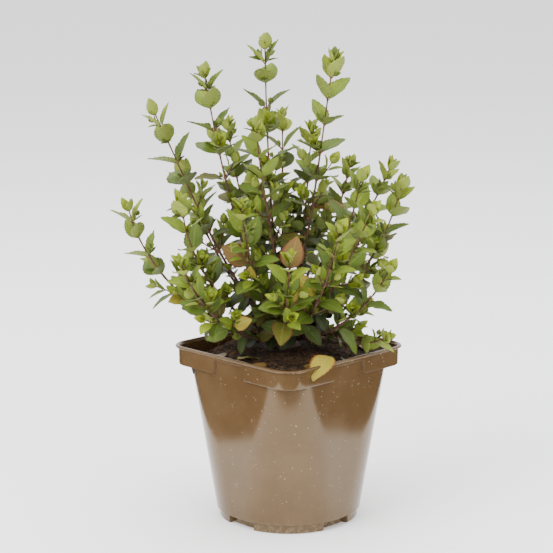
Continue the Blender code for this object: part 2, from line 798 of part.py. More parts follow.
def grow_mass(shoot, course, space, collection, material):
    """One mass of foliage: stem, side branches and leaf pairs. Returns its leaf count."""
    name = f"foliage_{shoot.name}"
    stem = stem_bmesh(shoot, course)
    pieces = [stem]
    leafy = course.length - bough_split(shoot, course) - 2.0 * STEM_RADIUS
    kept = 0

    def try_leaf(leaf):
        """Keep a leaf that is large enough, in its own space and clear."""
        nonlocal kept
        if kept >= MOST_LEAVES or leaf.length < SMALLEST_LEAF:
            return
        if not space.own(name, leaf.root + leaf.heading * leaf.length * LEAF_WIDEST):
            return
        guard = leaf_mesh(leaf, CLEARANCE)
        clear = space.free(name, guard)
        guard.free()
        if clear:
            blade = leaf_mesh(leaf)
            space.add(name, blade)
            pieces.append(blade)
            kept += 1

    nodes = node_distances(leafy, shoot.vigour)
    for rank, distance in enumerate(nodes):
        for leaf in leaf_pair(course, distance, rank, shoot.name, 1.0, shoot.vigour):
            try_leaf(leaf)
    for rank, distance in enumerate(nodes):
        for branch in side_branches(course, distance, rank, shoot.name):
            line = branch.course
            if line.length < SHORTEST_BRANCH or kept >= MOST_LEAVES:
                continue
            radii = (BRANCH_RADIUS, BRANCH_TIP_RADIUS)
            guard = course_tube(line, 0.0, line.length, radii, TWIG_SIDES, BRANCH_RINGS, None, CLEARANCE)
            clear = space.free(name, guard) and space.own(name, line.points[-1])
            guard.free()
            if not clear:
                continue
            twig = course_tube(line, 0.0, line.length, radii, TWIG_SIDES, BRANCH_RINGS)
            space.add(name, twig)
            pieces.append(twig)
            for step, reach in enumerate(node_distances(line.length * BRANCH_LEAFY, BRANCH_VIGOUR)):
                for leaf in leaf_pair(line, reach, step, branch.key, branch.scale, 1.0):
                    try_leaf(leaf)
    fuse(name, pieces, collection, material)
    return kept


def main():
    """Build the pot, its compost and the plant."""
    clear_scene()
    collection = bpy.data.collections.new(OBJECT_NAME)
    bpy.context.scene.collection.children.link(collection)
    plastic = make_material("pot_plastic", (0.30, 0.23, 0.15), 0.42)
    compost = make_material("compost", (0.05, 0.032, 0.02), 0.95)
    bark = make_material("bark", (0.16, 0.09, 0.06), 0.80)
    leaf = make_material("leaf", (0.16, 0.28, 0.05), 0.60)

    space = Space()
    space.add_object(build_pot(collection, plastic))
    space.add_object(build_soil(collection, compost))
    space.add_object(build_stock(collection, bark))

    courses = []
    for shoot, heading in zip(SHOOTS, start_headings()):
        course, normal = shoot_course(shoot, heading)
        courses.append((shoot, course))
        space.add_object(build_bough(shoot, course, normal, collection, bark))
        space.axes[f"foliage_{shoot.name}"] = course.points
    for shoot, course in courses:
        stem = stem_bmesh(shoot, course)
        space.add(f"foliage_{shoot.name}", stem)
        stem.free()
    total = sum(grow_mass(shoot, course, space, collection, leaf) for shoot, course in courses)
    print("leaves in all", total)


if __name__ == "__main__":
    main()
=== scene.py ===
"""Dressed scene of the potted salvia.

Metres, +Z up, in the same frame as the solids: the origin is the middle of the pot's
underside, and the corner of the pot that is the plant's front points to -Y.
"""

import logging
import math
import random
from collections import defaultdict
from dataclasses import dataclass
from enum import Enum
from typing import Any, Iterable, NamedTuple, Sequence

import bpy
import numpy as np
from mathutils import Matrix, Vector


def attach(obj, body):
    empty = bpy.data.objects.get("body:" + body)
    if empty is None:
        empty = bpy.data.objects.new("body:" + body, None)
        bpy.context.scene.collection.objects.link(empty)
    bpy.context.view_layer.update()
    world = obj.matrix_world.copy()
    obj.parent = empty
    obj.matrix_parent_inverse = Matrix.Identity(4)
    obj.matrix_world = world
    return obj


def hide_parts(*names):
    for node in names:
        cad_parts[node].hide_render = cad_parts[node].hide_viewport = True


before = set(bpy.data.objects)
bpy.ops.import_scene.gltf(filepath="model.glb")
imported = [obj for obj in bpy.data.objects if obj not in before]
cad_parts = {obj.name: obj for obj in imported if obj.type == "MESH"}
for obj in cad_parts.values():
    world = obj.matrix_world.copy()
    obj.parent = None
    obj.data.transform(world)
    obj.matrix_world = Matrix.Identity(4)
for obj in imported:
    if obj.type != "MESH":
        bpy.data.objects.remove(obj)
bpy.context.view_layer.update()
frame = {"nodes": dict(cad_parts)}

LOG = logging.getLogger("salvia")
BODY = "root"
GAP = 0.0003
TAU = 2.0 * math.pi
# Display colours are dimmed to this share, because the lights are strong.
LIT = 0.55
# Share of its red, green and blue that a leaf's colour keeps.
LEAF_CAST = (0.95, 0.96, 0.54)
# Side veins of a leaf, their slant, and the name of its surface coordinates.
VEINS = 7.0
SLANT = 1.5
BLADE_MAP = "Blade"
Colour = tuple[float, float, float]
Point = tuple[float, float, float]
Shade = tuple[int, int, int]


def linear(red: float, green: float, blue: float) -> Colour:
    """Turn a display colour into linear values, dimmed for the strong light.

    Args:
        red: Red, 0 to 255.
        green: Green, 0 to 255.
        blue: Blue, 0 to 255.

    Returns:
        The linear colour.
    """
    def channel(value: float) -> float:
        """One channel of it."""
        value /= 255.0
        return value / 12.92 if value <= 0.04045 else ((value + 0.055) / 1.055) ** 2.4
    return channel(red) * LIT, channel(green) * LIT, channel(blue) * LIT


def ease(value: float) -> float:
    """Smooth step from 0 to 1."""
    value = min(1.0, max(0.0, value))
    return value * value * (3.0 - 2.0 * value)


# Shader trees

class Socket:
    """A shader value whose arithmetic adds math nodes."""

    def __init__(self, shader: "Shader", socket: Any) -> None:
        """Keep a node's output and the shader it is in."""
        self.shader = shader
        self.socket = socket

    def math(self, operation: str, *others: Any) -> "Socket":
        """Run a math node that has this value first.

        Args:
            operation: The node's operation.
            others: Its other values.

        Returns:
            The result.
        """
        values = dict(enumerate((self, *others)))
        node = self.shader.node("ShaderNodeMath", {"operation": operation}, values)
        return Socket(self.shader, node.outputs[0])

    def __add__(self, other: Any) -> "Socket":
        """Sum."""
        return self.math("ADD", other)

    __radd__ = __add__

    def __mul__(self, other: Any) -> "Socket":
        """Product."""
        return self.math("MULTIPLY", other)

    __rmul__ = __mul__

    def __sub__(self, other: Any) -> "Socket":
        """Difference."""
        return self.math("SUBTRACT", other)

    def __rsub__(self, other: Any) -> "Socket":
        """Difference from a number."""
        return self.math("MULTIPLY", -1.0).math("ADD", other)

    def band(self, low: float, high: float) -> "Socket":
        """Smooth step of the value between two limits."""
        node = self.shader.node("ShaderNodeMapRange", {"interpolation_type": "SMOOTHSTEP"},
                                {0: self, 1: low, 2: high})
        return Socket(self.shader, node.outputs[0])


class Shader:
    """A Principled material under construction."""

    def __init__(self, name: str) -> None:
        """Start a material.

        Args:
            name: The material's name.
        """
        self.material = bpy.data.materials.new(name)
        self.material.use_nodes = True
        self.tree = self.material.node_tree
        self.surface = self.tree.nodes["Principled BSDF"]

    def feed(self, target: Any, value: Any) -> None:
        """Link a value to an input, or set the input to a constant.

        Args:
            target: The input.
            value: A Socket, or a plain value.
        """
        if isinstance(value, Socket):
            self.tree.links.new(value.socket, target)
        elif isinstance(value, tuple) and len(value) == 3 and target.type == "RGBA":
            target.default_value = (*value, 1.0)
        else:
            target.default_value = value

    def node(self, kind: str, settings: dict | None = None, inputs: dict | None = None) -> Any:
        """Add a node.

        Args:
            kind: The node's type name.
            settings: Attributes to set on it.
            inputs: Values for its inputs, by name or number.

        Returns:
            The new node.
        """
        made = self.tree.nodes.new(kind)
        for key, value in (settings or {}).items():
            setattr(made, key, value)
        for key, value in (inputs or {}).items():
            self.feed(made.inputs[key], value)
        return made

    def place(self, scale: Point = (1.0, 1.0, 1.0)) -> Socket:
        """Read object coordinates, stretched by a Mapping node.

        Args:
            scale: Stretch along each axis.

        Returns:
            The coordinates.
        """
        spot = Socket(self, self.node("ShaderNodeTexCoord").outputs["Object"])
        mapping = self.node("ShaderNodeMapping", None, {"Vector": spot, "Scale": scale})
        return Socket(self, mapping.outputs[0])

    def axis(self, vector: Socket, index: int) -> Socket:
        """One part of a vector."""
        node = self.node("ShaderNodeSeparateXYZ", None, {0: vector})
        return Socket(self, node.outputs[index])

    def noise(self, vector: Socket, scale: float, detail: float = 3.0, rough: float = 0.5) -> Socket:
        """Noise from 0 to 1."""
        node = self.node("ShaderNodeTexNoise", None,
                         {"Vector": vector, "Scale": scale, "Detail": detail, "Roughness": rough})
        return Socket(self, node.outputs[0])

    def cells(self, vector: Socket, scale: float) -> Socket:
        """Distance to the nearest of scattered points."""
        node = self.node("ShaderNodeTexVoronoi", None, {"Vector": vector, "Scale": scale})
        return Socket(self, node.outputs["Distance"])

    def mix(self, share: Any, low: Any, high: Any) -> Socket:
        """Mix two colours."""
        node = self.node("ShaderNodeMix", {"data_type": "RGBA"}, {0: share, 6: low, 7: high})
        return Socket(self, node.outputs[2])

    def bump(self, height: Socket, depth: float, strength: float) -> Socket:
        """Normal bent by a height in metres."""
        node = self.node("ShaderNodeBump", None,
                         {"Height": height, "Distance": depth, "Strength": strength})
        return Socket(self, node.outputs[0])

    def finish(self, **inputs: Any) -> Any:
        """Set the surface's inputs.

        Args:
            inputs: Values by the input's name, with each space written as _.

        Returns:
            The material.
        """
        for key, value in inputs.items():
            self.feed(self.surface.inputs[key.replace("_", " ")], value)
        return self.material


class Speck(NamedTuple):
    """Fine specks of one colour: how close they stand, their size and their colour."""

    scale: float
    size: float
    tint: Colour


@dataclass(frozen=True)
class PlasticFinish:
    """Semi-gloss moulded plastic with fine specks and dust near the ground."""

    name: str = "moulded_plastic"
    base: Colour = linear(101, 76, 47)
    worn: Colour = linear(110, 85, 56)
    dust: Colour = linear(160, 142, 114)
    dust_height: float = 0.016
    dust_cover: float = 0.55
    specks: tuple[Speck, ...] = (
        Speck(310.0, 0.13, linear(226, 216, 198)),
        Speck(240.0, 0.10, linear(176, 112, 58)),
        Speck(270.0, 0.13, linear(40, 30, 20)),
    )
    gloss: float = 0.08
    index: float = 1.62
    reflection: Colour = (1.0, 0.86, 0.66)
    grain_depth: float = 0.00003

    def build(self) -> Any:
        """Build the material.

        Returns:
            The material.
        """
        shader = Shader(self.name)
        place = shader.place()
        cloud = shader.noise(place, 22.0, 4.0, 0.6)
        grain = shader.noise(place, 900.0, 2.0, 0.5)
        colour = shader.mix(cloud.band(0.38, 0.66), self.base, self.worn)
        for speck in self.specks:
            cells = shader.cells(place, speck.scale)
            gate = shader.noise(place, speck.scale * 0.31, 1.0).band(0.56, 0.60)
            spots = 1.0 - cells.band(speck.size * 0.7, speck.size)
            colour = shader.mix(spots * gate, colour, speck.tint)
        low = 1.0 - shader.axis(shader.place(), 2).band(0.0, self.dust_height)
        dust = low * shader.noise(place, 160.0, 5.0, 0.7).band(0.42, 0.62)
        colour = shader.mix(dust * self.dust_cover, colour, self.dust)
        rough = cloud * 0.08 + grain * 0.04 + dust * 0.30 + self.gloss
        return shader.finish(Base_Color=colour, Roughness=rough, IOR=self.index,
                             Specular_Tint=self.reflection,
                             Normal=shader.bump(grain + cloud * 2.0, self.grain_depth, 0.5))


@dataclass(frozen=True)
class BarkFinish:
    """Woody stem with streaks along it and fine cracks."""

    name: str
    dark: Colour
    light: Colour
    green: Colour
    depth: float = 0.0003
    stretch: Point = (1.0, 1.0, 0.18)

    def build(self) -> Any:
        """Build the material.

        Returns:
            The material.
        """
        shader = Shader(self.name)
        streaks = shader.noise(shader.place(self.stretch), 520.0, 4.0, 0.6)
        patches = shader.noise(shader.place(), 55.0, 3.0, 0.6)
        colour = shader.mix(streaks.band(0.36, 0.66), self.dark, self.light)
        colour = shader.mix(patches.band(0.50, 0.72) * 0.6, colour, self.green)
        return shader.finish(Base_Color=colour, Roughness=patches * 0.2 + 0.55,
                             Normal=shader.bump(streaks, self.depth, 0.8))


@dataclass(frozen=True)
class CompostFinish:
    """Dark fibrous compost."""

    name: str
    dark: Colour
    brown: Colour
    pale: Colour
    scale: float = 420.0
    roughness: float = 0.92
    depth: float = 0.0012

    def build(self) -> Any:
        """Build the material.

        Returns:
            The material.
        """
        shader = Shader(self.name)
        place = shader.place()
        lumps = shader.noise(place, self.scale * 0.4, 6.0, 0.7)
        fine = shader.noise(place, self.scale, 4.0, 0.7)
        colour = shader.mix(lumps.band(0.38, 0.64), self.dark, self.brown)
        colour = shader.mix(fine.band(0.62, 0.74), colour, self.pale)
        return shader.finish(Base_Color=colour, Roughness=self.roughness,
                             Normal=shader.bump(lumps + fine * 0.5, self.depth, 0.9))


@dataclass(frozen=True)
class LeafFinish:
    """One part of a leaf: a plain colour with pinnate veins pressed into it."""

    name: str
    colour: Colour
    roughness: float = 0.52
    sheen: float = 0.32
    depth: float = 0.00035

    def build(self) -> Any:
        """Build the material.

        Returns:
            The material.
        """
        shader = Shader(self.name)
        source = shader.node("ShaderNodeUVMap", {"uv_map": BLADE_MAP})
        spot = Socket(shader, source.outputs[0])
        along = shader.axis(spot, 0)
        side = (shader.axis(spot, 1) - 0.5).math("ABSOLUTE") * 2.0
        phase = (along * VEINS - side * SLANT).math("FRACT")
        vein = (phase - 0.5).math("ABSOLUTE").band(0.0, 0.16)
        mesh = shader.noise(shader.place(), 1400.0, 3.0, 0.6)
        relief = vein * 0.8 + side.band(0.0, 0.10) * 0.6 + mesh * 0.5
        return shader.finish(Base_Color=self.colour, Roughness=self.roughness,
                             Specular_IOR_Level=self.sheen,
                             Normal=shader.bump(relief, self.depth, 0.75))


class Tint(Enum):
    """Leaf colours by age, and SHADE, a painted-shade colour: blade, rib, margin and underside, as display
    values.
    """

    YOUNG = ((166, 184, 56), (196, 206, 104), (156, 170, 60), (176, 190, 104))
    FRESH = ((136, 158, 58), (164, 176, 92), (126, 140, 58), (152, 166, 98))
    MID = ((100, 124, 52), (134, 144, 80), (104, 104, 54), (130, 144, 92))
    DARK = ((70, 90, 42), (104, 104, 62), (92, 70, 48), (108, 122, 84))
    # Painted shade: a darkened copy of the greens for old leaves and for leaves deep in the crown.
    SHADE = ((48, 62, 32), (74, 78, 46), (66, 52, 36), (84, 96, 66))
    OLIVE = ((104, 104, 50), (132, 120, 72), (112, 74, 50), (136, 138, 92))
    BRONZE = ((134, 106, 70), (160, 126, 82), (120, 66, 50), (156, 126, 92))
    ORANGE = ((178, 116, 66), (192, 150, 92), (150, 84, 58), (186, 142, 98))
    YELLOW = ((188, 172, 86), (202, 186, 112), (170, 118, 70), (192, 178, 112))
    RED = ((122, 58, 46), (146, 90, 66), (104, 44, 40), (140, 92, 74))

    def materials(self) -> list[Any]:
        """Build the materials of a leaf of this colour.

        Returns:
            Those of the blade, the rib, the margin and the underside.
        """
        made = []
        for part, shade in zip(("blade", "rib", "margin", "under"), self.value):
            colour = tuple(value * share for value, share in zip(linear(*shade), LEAF_CAST))
            made.append(LeafFinish(f"leaf_{self.name.lower()}_{part}", colour).build())
        return made


# Age in ranks, raised by painted shade deep in the crown, below which a leaf has each colour; an older leaf
# is SHADE, painted shade.
AGES = ((1.2, Tint.YOUNG), (2.9, Tint.FRESH), (6.4, Tint.MID), (10.2, Tint.DARK))
# Colours that an older leaf has now and then.
ODD = (Tint.BRONZE, Tint.OLIVE, Tint.OLIVE, Tint.OLIVE, Tint.YELLOW)


# Meshes

class Skin:
    """Gathers vertices and faces of equal-sided groups, then makes one mesh object."""

    def __init__(self) -> None:
        """Start with no vertices and no faces."""
        self.points: list[np.ndarray] = []
        self.faces: list[tuple[np.ndarray, np.ndarray]] = []
        self.marks: list[np.ndarray] = []
        self.count = 0
        self.triangles = 0

    def add(self, points: np.ndarray, groups: Iterable[tuple[np.ndarray, Any]],
            marks: np.ndarray | None = None) -> None:
        """Add one shape.

        Args:
            points: Vertices, one row each.
            groups: Pairs of a face array, one row each, and a slot number or slot array.
            marks: A pair of surface coordinates for each vertex.
        """
        self.points.append(points)
        self.marks.append(marks if marks is not None else np.zeros((len(points), 2)))
        for faces, slot in groups:
            slots = np.broadcast_to(np.asarray(slot, dtype=np.int32), (len(faces),))
            self.faces.append((faces + self.count, slots))
            self.triangles += len(faces) * (faces.shape[1] - 2)
        self.count += len(points)

    def build(self, name: str, materials: Sequence[Any], sharp: float | None = None) -> Any:
        """Make the object, smooth shaded.

        Args:
            name: The object's name.
            materials: Its materials, in slot order.
            sharp: Angle in degrees past which an edge is shaded sharp.

        Returns:
            The object.
        """
        mesh = bpy.data.meshes.new(name)
        loops = np.concatenate([faces.reshape(-1) for faces, _ in self.faces]).astype(np.int32)
        sizes = np.concatenate([np.full(len(faces), faces.shape[1]) for faces, _ in self.faces])
        slots = np.concatenate([slots for _, slots in self.faces])
        starts = np.concatenate([[0], np.cumsum(sizes)[:-1]]).astype(np.int32)
        mesh.vertices.add(self.count)
        mesh.loops.add(len(loops))
        mesh.polygons.add(len(sizes))
        mesh.vertices.foreach_set("co", np.concatenate(self.points).astype(np.float32).reshape(-1))
        mesh.loops.foreach_set("vertex_index", loops)
        mesh.polygons.foreach_set("loop_start", starts)
        mesh.polygons.foreach_set("material_index", slots.astype(np.int32))
        mesh.polygons.foreach_set("use_smooth", np.ones(len(sizes), dtype=bool))
        layer = mesh.uv_layers.new(name=BLADE_MAP)
        layer.data.foreach_set("uv", np.concatenate(self.marks)[loops].astype(np.float32).reshape(-1))
        mesh.update(calc_edges=True)
        if sharp is not None:
            mesh.set_sharp_from_angle(angle=math.radians(sharp))
        for material in materials:
            mesh.materials.append(material)
        made = bpy.data.objects.new(name, mesh)
        bpy.context.scene.collection.objects.link(made)
        return made


def quads(grid: np.ndarray) -> np.ndarray:
    """Four-sided faces between neighbours in a grid of vertex numbers."""
    corners = [grid[:-1, :-1], grid[:-1, 1:], grid[1:, 1:], grid[1:, :-1]]
    return np.stack(corners, axis=-1).reshape(-1, 4)


def ring_faces(rows: int, columns: int) -> np.ndarray:
    """Faces between rows of points, each row closed into a ring."""
    grid = np.arange(rows * columns).reshape(rows, columns)
    return quads(np.concatenate([grid, grid[:, :1]], axis=1))


def end_faces(rows: int, columns: int) -> np.ndarray:
    """The face on the first ring, turned back, and the face on the last."""
    ring = np.arange(columns)
    return np.stack([ring[::-1], ring + columns * (rows - 1)])


def fan(ring: np.ndarray, hub: int, upward: bool) -> np.ndarray:
    """Join a ring to a hub.

    Args:
        ring: Vertex numbers round the ring.
        hub: The hub's vertex number.
        upward: Whether the faces look up.

    Returns:
        Three vertex numbers for each face.
    """
    after = np.roll(ring, -1)
    edge = (ring, after) if upward else (after, ring)
    return np.stack([*edge, np.full(len(ring), hub)], axis=-1)


def add_tube(skin: Skin, points: Sequence[Vector], radii: Sequence[float], sides: int,
             square: float = 0.0, slot: int = 0, rough: float = 0.0, seed: str = "") -> None:
    """Add a closed tube along points.

    Args:
        skin: What it is added to.
        points: The middle line.
        radii: A radius for each point.
        sides: Faces round it.
        square: How far the section goes towards a square.
        slot: Material slot.
        rough: Share of the radius by which the surface wanders.
        seed: Key of its own random draws.
    """
    source = random.Random(f"tube/{seed}")
    lines = [Vector(point) for point in points]
    direction = (lines[1] - lines[0]).normalized()
    side = direction.orthogonal().normalized()
    turns = np.arange(sides) * TAU / sides
    shape = 1.0 + square * np.cos(4.0 * turns)
    rings = []
    for k, point in enumerate(lines):
        ahead = lines[min(k + 1, len(lines) - 1)]
        behind = lines[max(k - 1, 0)]
        direction = (ahead - behind).normalized()
        side = (side - direction * side.dot(direction)).normalized()
        up = direction.cross(side)
        wander = np.array([1.0 + source.uniform(-rough, rough) for _ in range(sides)])
        reach = (shape * wander * radii[k])[:, None]
        rings.append(np.array(point) + (np.cos(turns)[:, None] * np.array(side)
                                        + np.sin(turns)[:, None] * np.array(up)) * reach)
    faces = ring_faces(len(rings), sides)
    caps = end_faces(len(rings), sides)
    skin.add(np.concatenate(rings), [(faces, slot), (caps, slot)])


# Growth rule of the plant

class Shoot(NamedTuple):
    """One shoot: its tip, arch below its chord in degrees, vigour and bare share."""

    name: str
    tip: tuple[float, float, float]
    arch: float
    vigour: float
    bare: float


SHOOTS = (
    Shoot("tall_mid", (-0.023, 0.012, 0.465), 6.0, 1.10, 0.30),
    Shoot("tall_right", (0.042, -0.022, 0.454), 1.0, 1.16, 0.30),
    Shoot("tall_left", (-0.080, -0.020, 0.440), 7.0, 1.00, 0.32),
    Shoot("outer_left", (-0.130, 0.006, 0.402), 3.0, 1.00, 0.34),
    Shoot("inner_left", (-0.031, -0.048, 0.393), 4.0, 0.90, 0.32),
    Shoot("inner_right", (0.023, 0.040, 0.380), 3.0, 0.95, 0.34),
    Shoot("right_mid", (0.068, -0.048, 0.345), 14.0, 0.92, 0.34),
    Shoot("right_back", (0.100, 0.030, 0.345), 8.0, 0.92, 0.36),
    Shoot("right_outer", (0.109, -0.012, 0.332), 20.0, 0.92, 0.36),
    Shoot("left_front", (-0.101, -0.070, 0.325), 31.0, 0.92, 0.36),
    Shoot("left_low", (-0.154, -0.026, 0.313), 34.0, 0.95, 0.40),
    Shoot("front_left", (-0.045, -0.090, 0.324), 12.0, 0.84, 0.34),
    Shoot("right_front", (0.076, -0.080, 0.318), 9.0, 0.86, 0.34),
    Shoot("front_right", (0.046, -0.108, 0.306), 20.0, 0.84, 0.34),
    Shoot("front_mid", (0.000, -0.116, 0.280), 20.0, 0.82, 0.34),
    Shoot("front_outer", (-0.100, -0.112, 0.276), 28.0, 0.82, 0.38),
    Shoot("front_east", (0.094, -0.072, 0.262), 26.0, 0.82, 0.38),
    Shoot("back_mid", (-0.006, 0.080, 0.388), 6.0, 0.95, 0.34),
    Shoot("back_left", (-0.061, 0.066, 0.380), 6.0, 0.95, 0.34),
    Shoot("back_right", (0.062, 0.066, 0.342), 10.0, 0.90, 0.34),
    Shoot("back_west", (-0.108, 0.066, 0.336), 14.0, 0.90, 0.36),
    Shoot("back_far", (-0.039, 0.124, 0.324), 20.0, 0.86, 0.36),
    Shoot("back_east", (0.096, 0.066, 0.272), 22.0, 0.86, 0.38),
    Shoot("back_low", (0.034, 0.124, 0.300), 26.0, 0.84, 0.38),
    Shoot("heart_left", (-0.028, -0.056, 0.246), 10.0, 0.66, 0.26),
    Shoot("heart_right", (0.020, -0.058, 0.240), 10.0, 0.66, 0.26),
    Shoot("creeping_mid", (0.066, -0.024, 0.196), 12.0, 0.72, 0.42),
    Shoot("creeping_right", (0.092, -0.044, 0.190), 24.0, 0.80, 0.46),
)


class Leaf(NamedTuple):
    """One leaf: where it is joined, its direction, its upper side, size and age."""

    root: Vector
    heading: Vector
    face: Vector
    length: float
    width: float
    age: int


def draws(*key: Any) -> random.Random:
    """A random source of its own for each place on the plant."""
    return random.Random("/".join(str(word) for word in key))


def steady_side(direction: Vector) -> Vector:
    """A level direction square to the given one."""
    side = direction.cross(Vector((0, 0, 1)))
    if side.length < 0.05:
        side = direction.cross(Vector((1, 0, 0)))
    return side.normalized()


def slope(flat: Vector, rise: float) -> Vector:
    """A level direction tipped up by an angle in radians."""
    return flat * math.cos(rise) + Vector((0, 0, math.sin(rise)))


class Course:
    """The curve of one stem, read by its length from the foot."""

    def __init__(self, foot: Vector, first: Vector, last: Vector, tip: Vector, steps: int) -> None:
        """Lay a cubic curve in straight pieces.

        Args:
            foot: Its start.
            first: The control point after the start.
            last: The control point before the end.
            tip: Its end.
            steps: Number of pieces.
        """
        self.points = []
        for k in range(steps + 1):
            t = k / steps
            u = 1.0 - t
            early = foot * u ** 3 + first * (3 * u * u * t)
            self.points.append(early + last * (3 * u * t * t) + tip * t ** 3)
        self.marks = [0.0]
        for a, b in zip(self.points, self.points[1:]):
            self.marks.append(self.marks[-1] + (b - a).length)
        self.length = self.marks[-1]

    def at(self, distance: float) -> tuple[Vector, Vector]:
        """Read the curve.

        Args:
            distance: Length along it from the foot.

        Returns:
            The point there and the direction there.
        """
        distance = min(self.length, max(0.0, distance))
        k = 0
        while k < len(self.marks) - 2 and self.marks[k + 1] < distance:
            k += 1
        a, b = self.points[k], self.points[k + 1]
        share = (distance - self.marks[k]) / (self.marks[k + 1] - self.marks[k])
        before = self.points[max(0, k - 1)]
        after = self.points[min(len(self.points) - 1, k + 2)]
        return a.lerp(b, share), (after - before).normalized()


@dataclass(frozen=True)
class Stock:
    """The woody stock that the shoots start from, and how they leave it."""

    x: float = -0.004
    z: float = 0.1723
    flare: float = 0.0155
    waist: float = 0.0115
    height: float = 0.0190
    neck: float = 0.4
    crown: float = 0.985
    lobes: int = 5
    lobe_depth: float = 0.07
    sides: int = 48
    rows: int = 26
    knots: float = 0.05
    spacing: float = math.radians(25.0)
    rounds: int = 200
    nudge: float = 0.25
    lowest: float = 0.08
    steepest: float = math.radians(89.0)
    ease: float = 0.34
    steps: int = 40

    def radius(self, turn: float, share: float) -> float:
        """Measure the stock without its knots.

        Args:
            turn: Angle round it in radians.
            share: Share of its height.

        Returns:
            The radius there.
        """
        if share < self.neck:
            flare = 1.0 - share / self.neck
            radius = self.waist + (self.flare - self.waist) * flare ** 1.5
            return radius * (1.0 + self.lobe_depth * flare * math.cos(self.lobes * turn))
        rise = (share - self.neck) / (1.0 - self.neck)
        return self.waist * math.sqrt(max(0.0, 1.0 - rise * rise))

    def centre(self) -> Vector:
        """Middle of the dome."""
        return Vector((self.x, 0.0, self.z + self.height * self.neck))

    def foot(self, heading: Vector) -> tuple[Vector, Vector]:
        """Find where a shoot leaves the dome.

        Args:
            heading: The shoot's first direction.

        Returns:
            The point on the dome and the dome's normal there.
        """
        radii = Vector((self.waist, self.waist, self.height * (1.0 - self.neck)))
        scaled = Vector((heading.x / radii.x, heading.y / radii.y, heading.z / radii.z))
        point = heading / scaled.length
        normal = Vector((point.x / radii.x ** 2, point.y / radii.y ** 2, point.z / radii.z ** 2))
        return self.centre() + point, normal.normalized()

    def headings(self) -> list[Vector]:
        """Ease the shoots' first directions apart from each other.

        Returns:
            A direction for each shoot.
        """
        found = []
        for shoot in SHOOTS:
            chord = Vector(shoot.tip) - self.centre()
            rise = math.atan2(chord.z, math.hypot(chord.x, chord.y)) - math.radians(shoot.arch)
            flat = Vector((chord.x, chord.y, 0.0)).normalized()
            found.append(slope(flat, rise).normalized())
        for _ in range(self.rounds):
            pushes = [Vector((0, 0, 0)) for _ in found]
            for i, one in enumerate(found):
                for j in range(i):
                    apart = one.angle(found[j])
                    if apart < self.spacing:
                        push = (one - found[j]).normalized() * (self.spacing - apart) * self.nudge
                        pushes[i] += push
                        pushes[j] -= push
            found = [(one + push).normalized() for one, push in zip(found, pushes)]
            for one in found:
                one.z = max(one.z, self.lowest)
                one.normalize()
        return found

    def course(self, shoot: Shoot, heading: Vector) -> Course:
        """Lay the course of a whole shoot from the dome to its tip.

        Args:
            shoot: The shoot.
            heading: Its first direction.

        Returns:
            The course.
        """
        foot, normal = self.foot(heading)
        foot += normal * GAP
        tip = Vector(shoot.tip)
        chord = tip - foot
        level = math.hypot(chord.x, chord.y)
        rise = min(self.steepest, math.atan2(chord.z, level) + math.radians(shoot.arch))
        finish = slope(Vector((chord.x, chord.y, 0.0)).normalized(), rise)
        reach = chord.length * self.ease
        return Course(foot, foot + heading * reach, tip - finish * reach, tip, self.steps)

    def add(self, skin: Skin) -> None:
        """Add the stock's own knotty skin."""
        source = draws("stock")
        phases = [source.uniform(0.0, TAU) for _ in range(4)]
        rings = []
        for row in range(self.rows):
            share = self.crown * row / (self.rows - 1)
            ring = []
            for k in range(self.sides):
                turn = TAU * k / self.sides
                knot = math.sin(3 * turn + phases[0] + share * 9) * math.sin(share * 14 + phases[1])
                knot += 0.6 * math.sin(11 * turn + phases[2]) * math.sin(share * 23 + phases[3])
                radius = self.radius(turn, share) * (1.0 + self.knots * knot)
                ring.append((self.x + radius * math.cos(turn), radius * math.sin(turn),
                             self.z + self.height * share))
            rings.append(ring)
        faces = ring_faces(self.rows, self.sides)
        caps = end_faces(self.rows, self.sides)
        skin.add(np.array(rings).reshape(-1, 3), [(faces, 0), (caps, 0)])


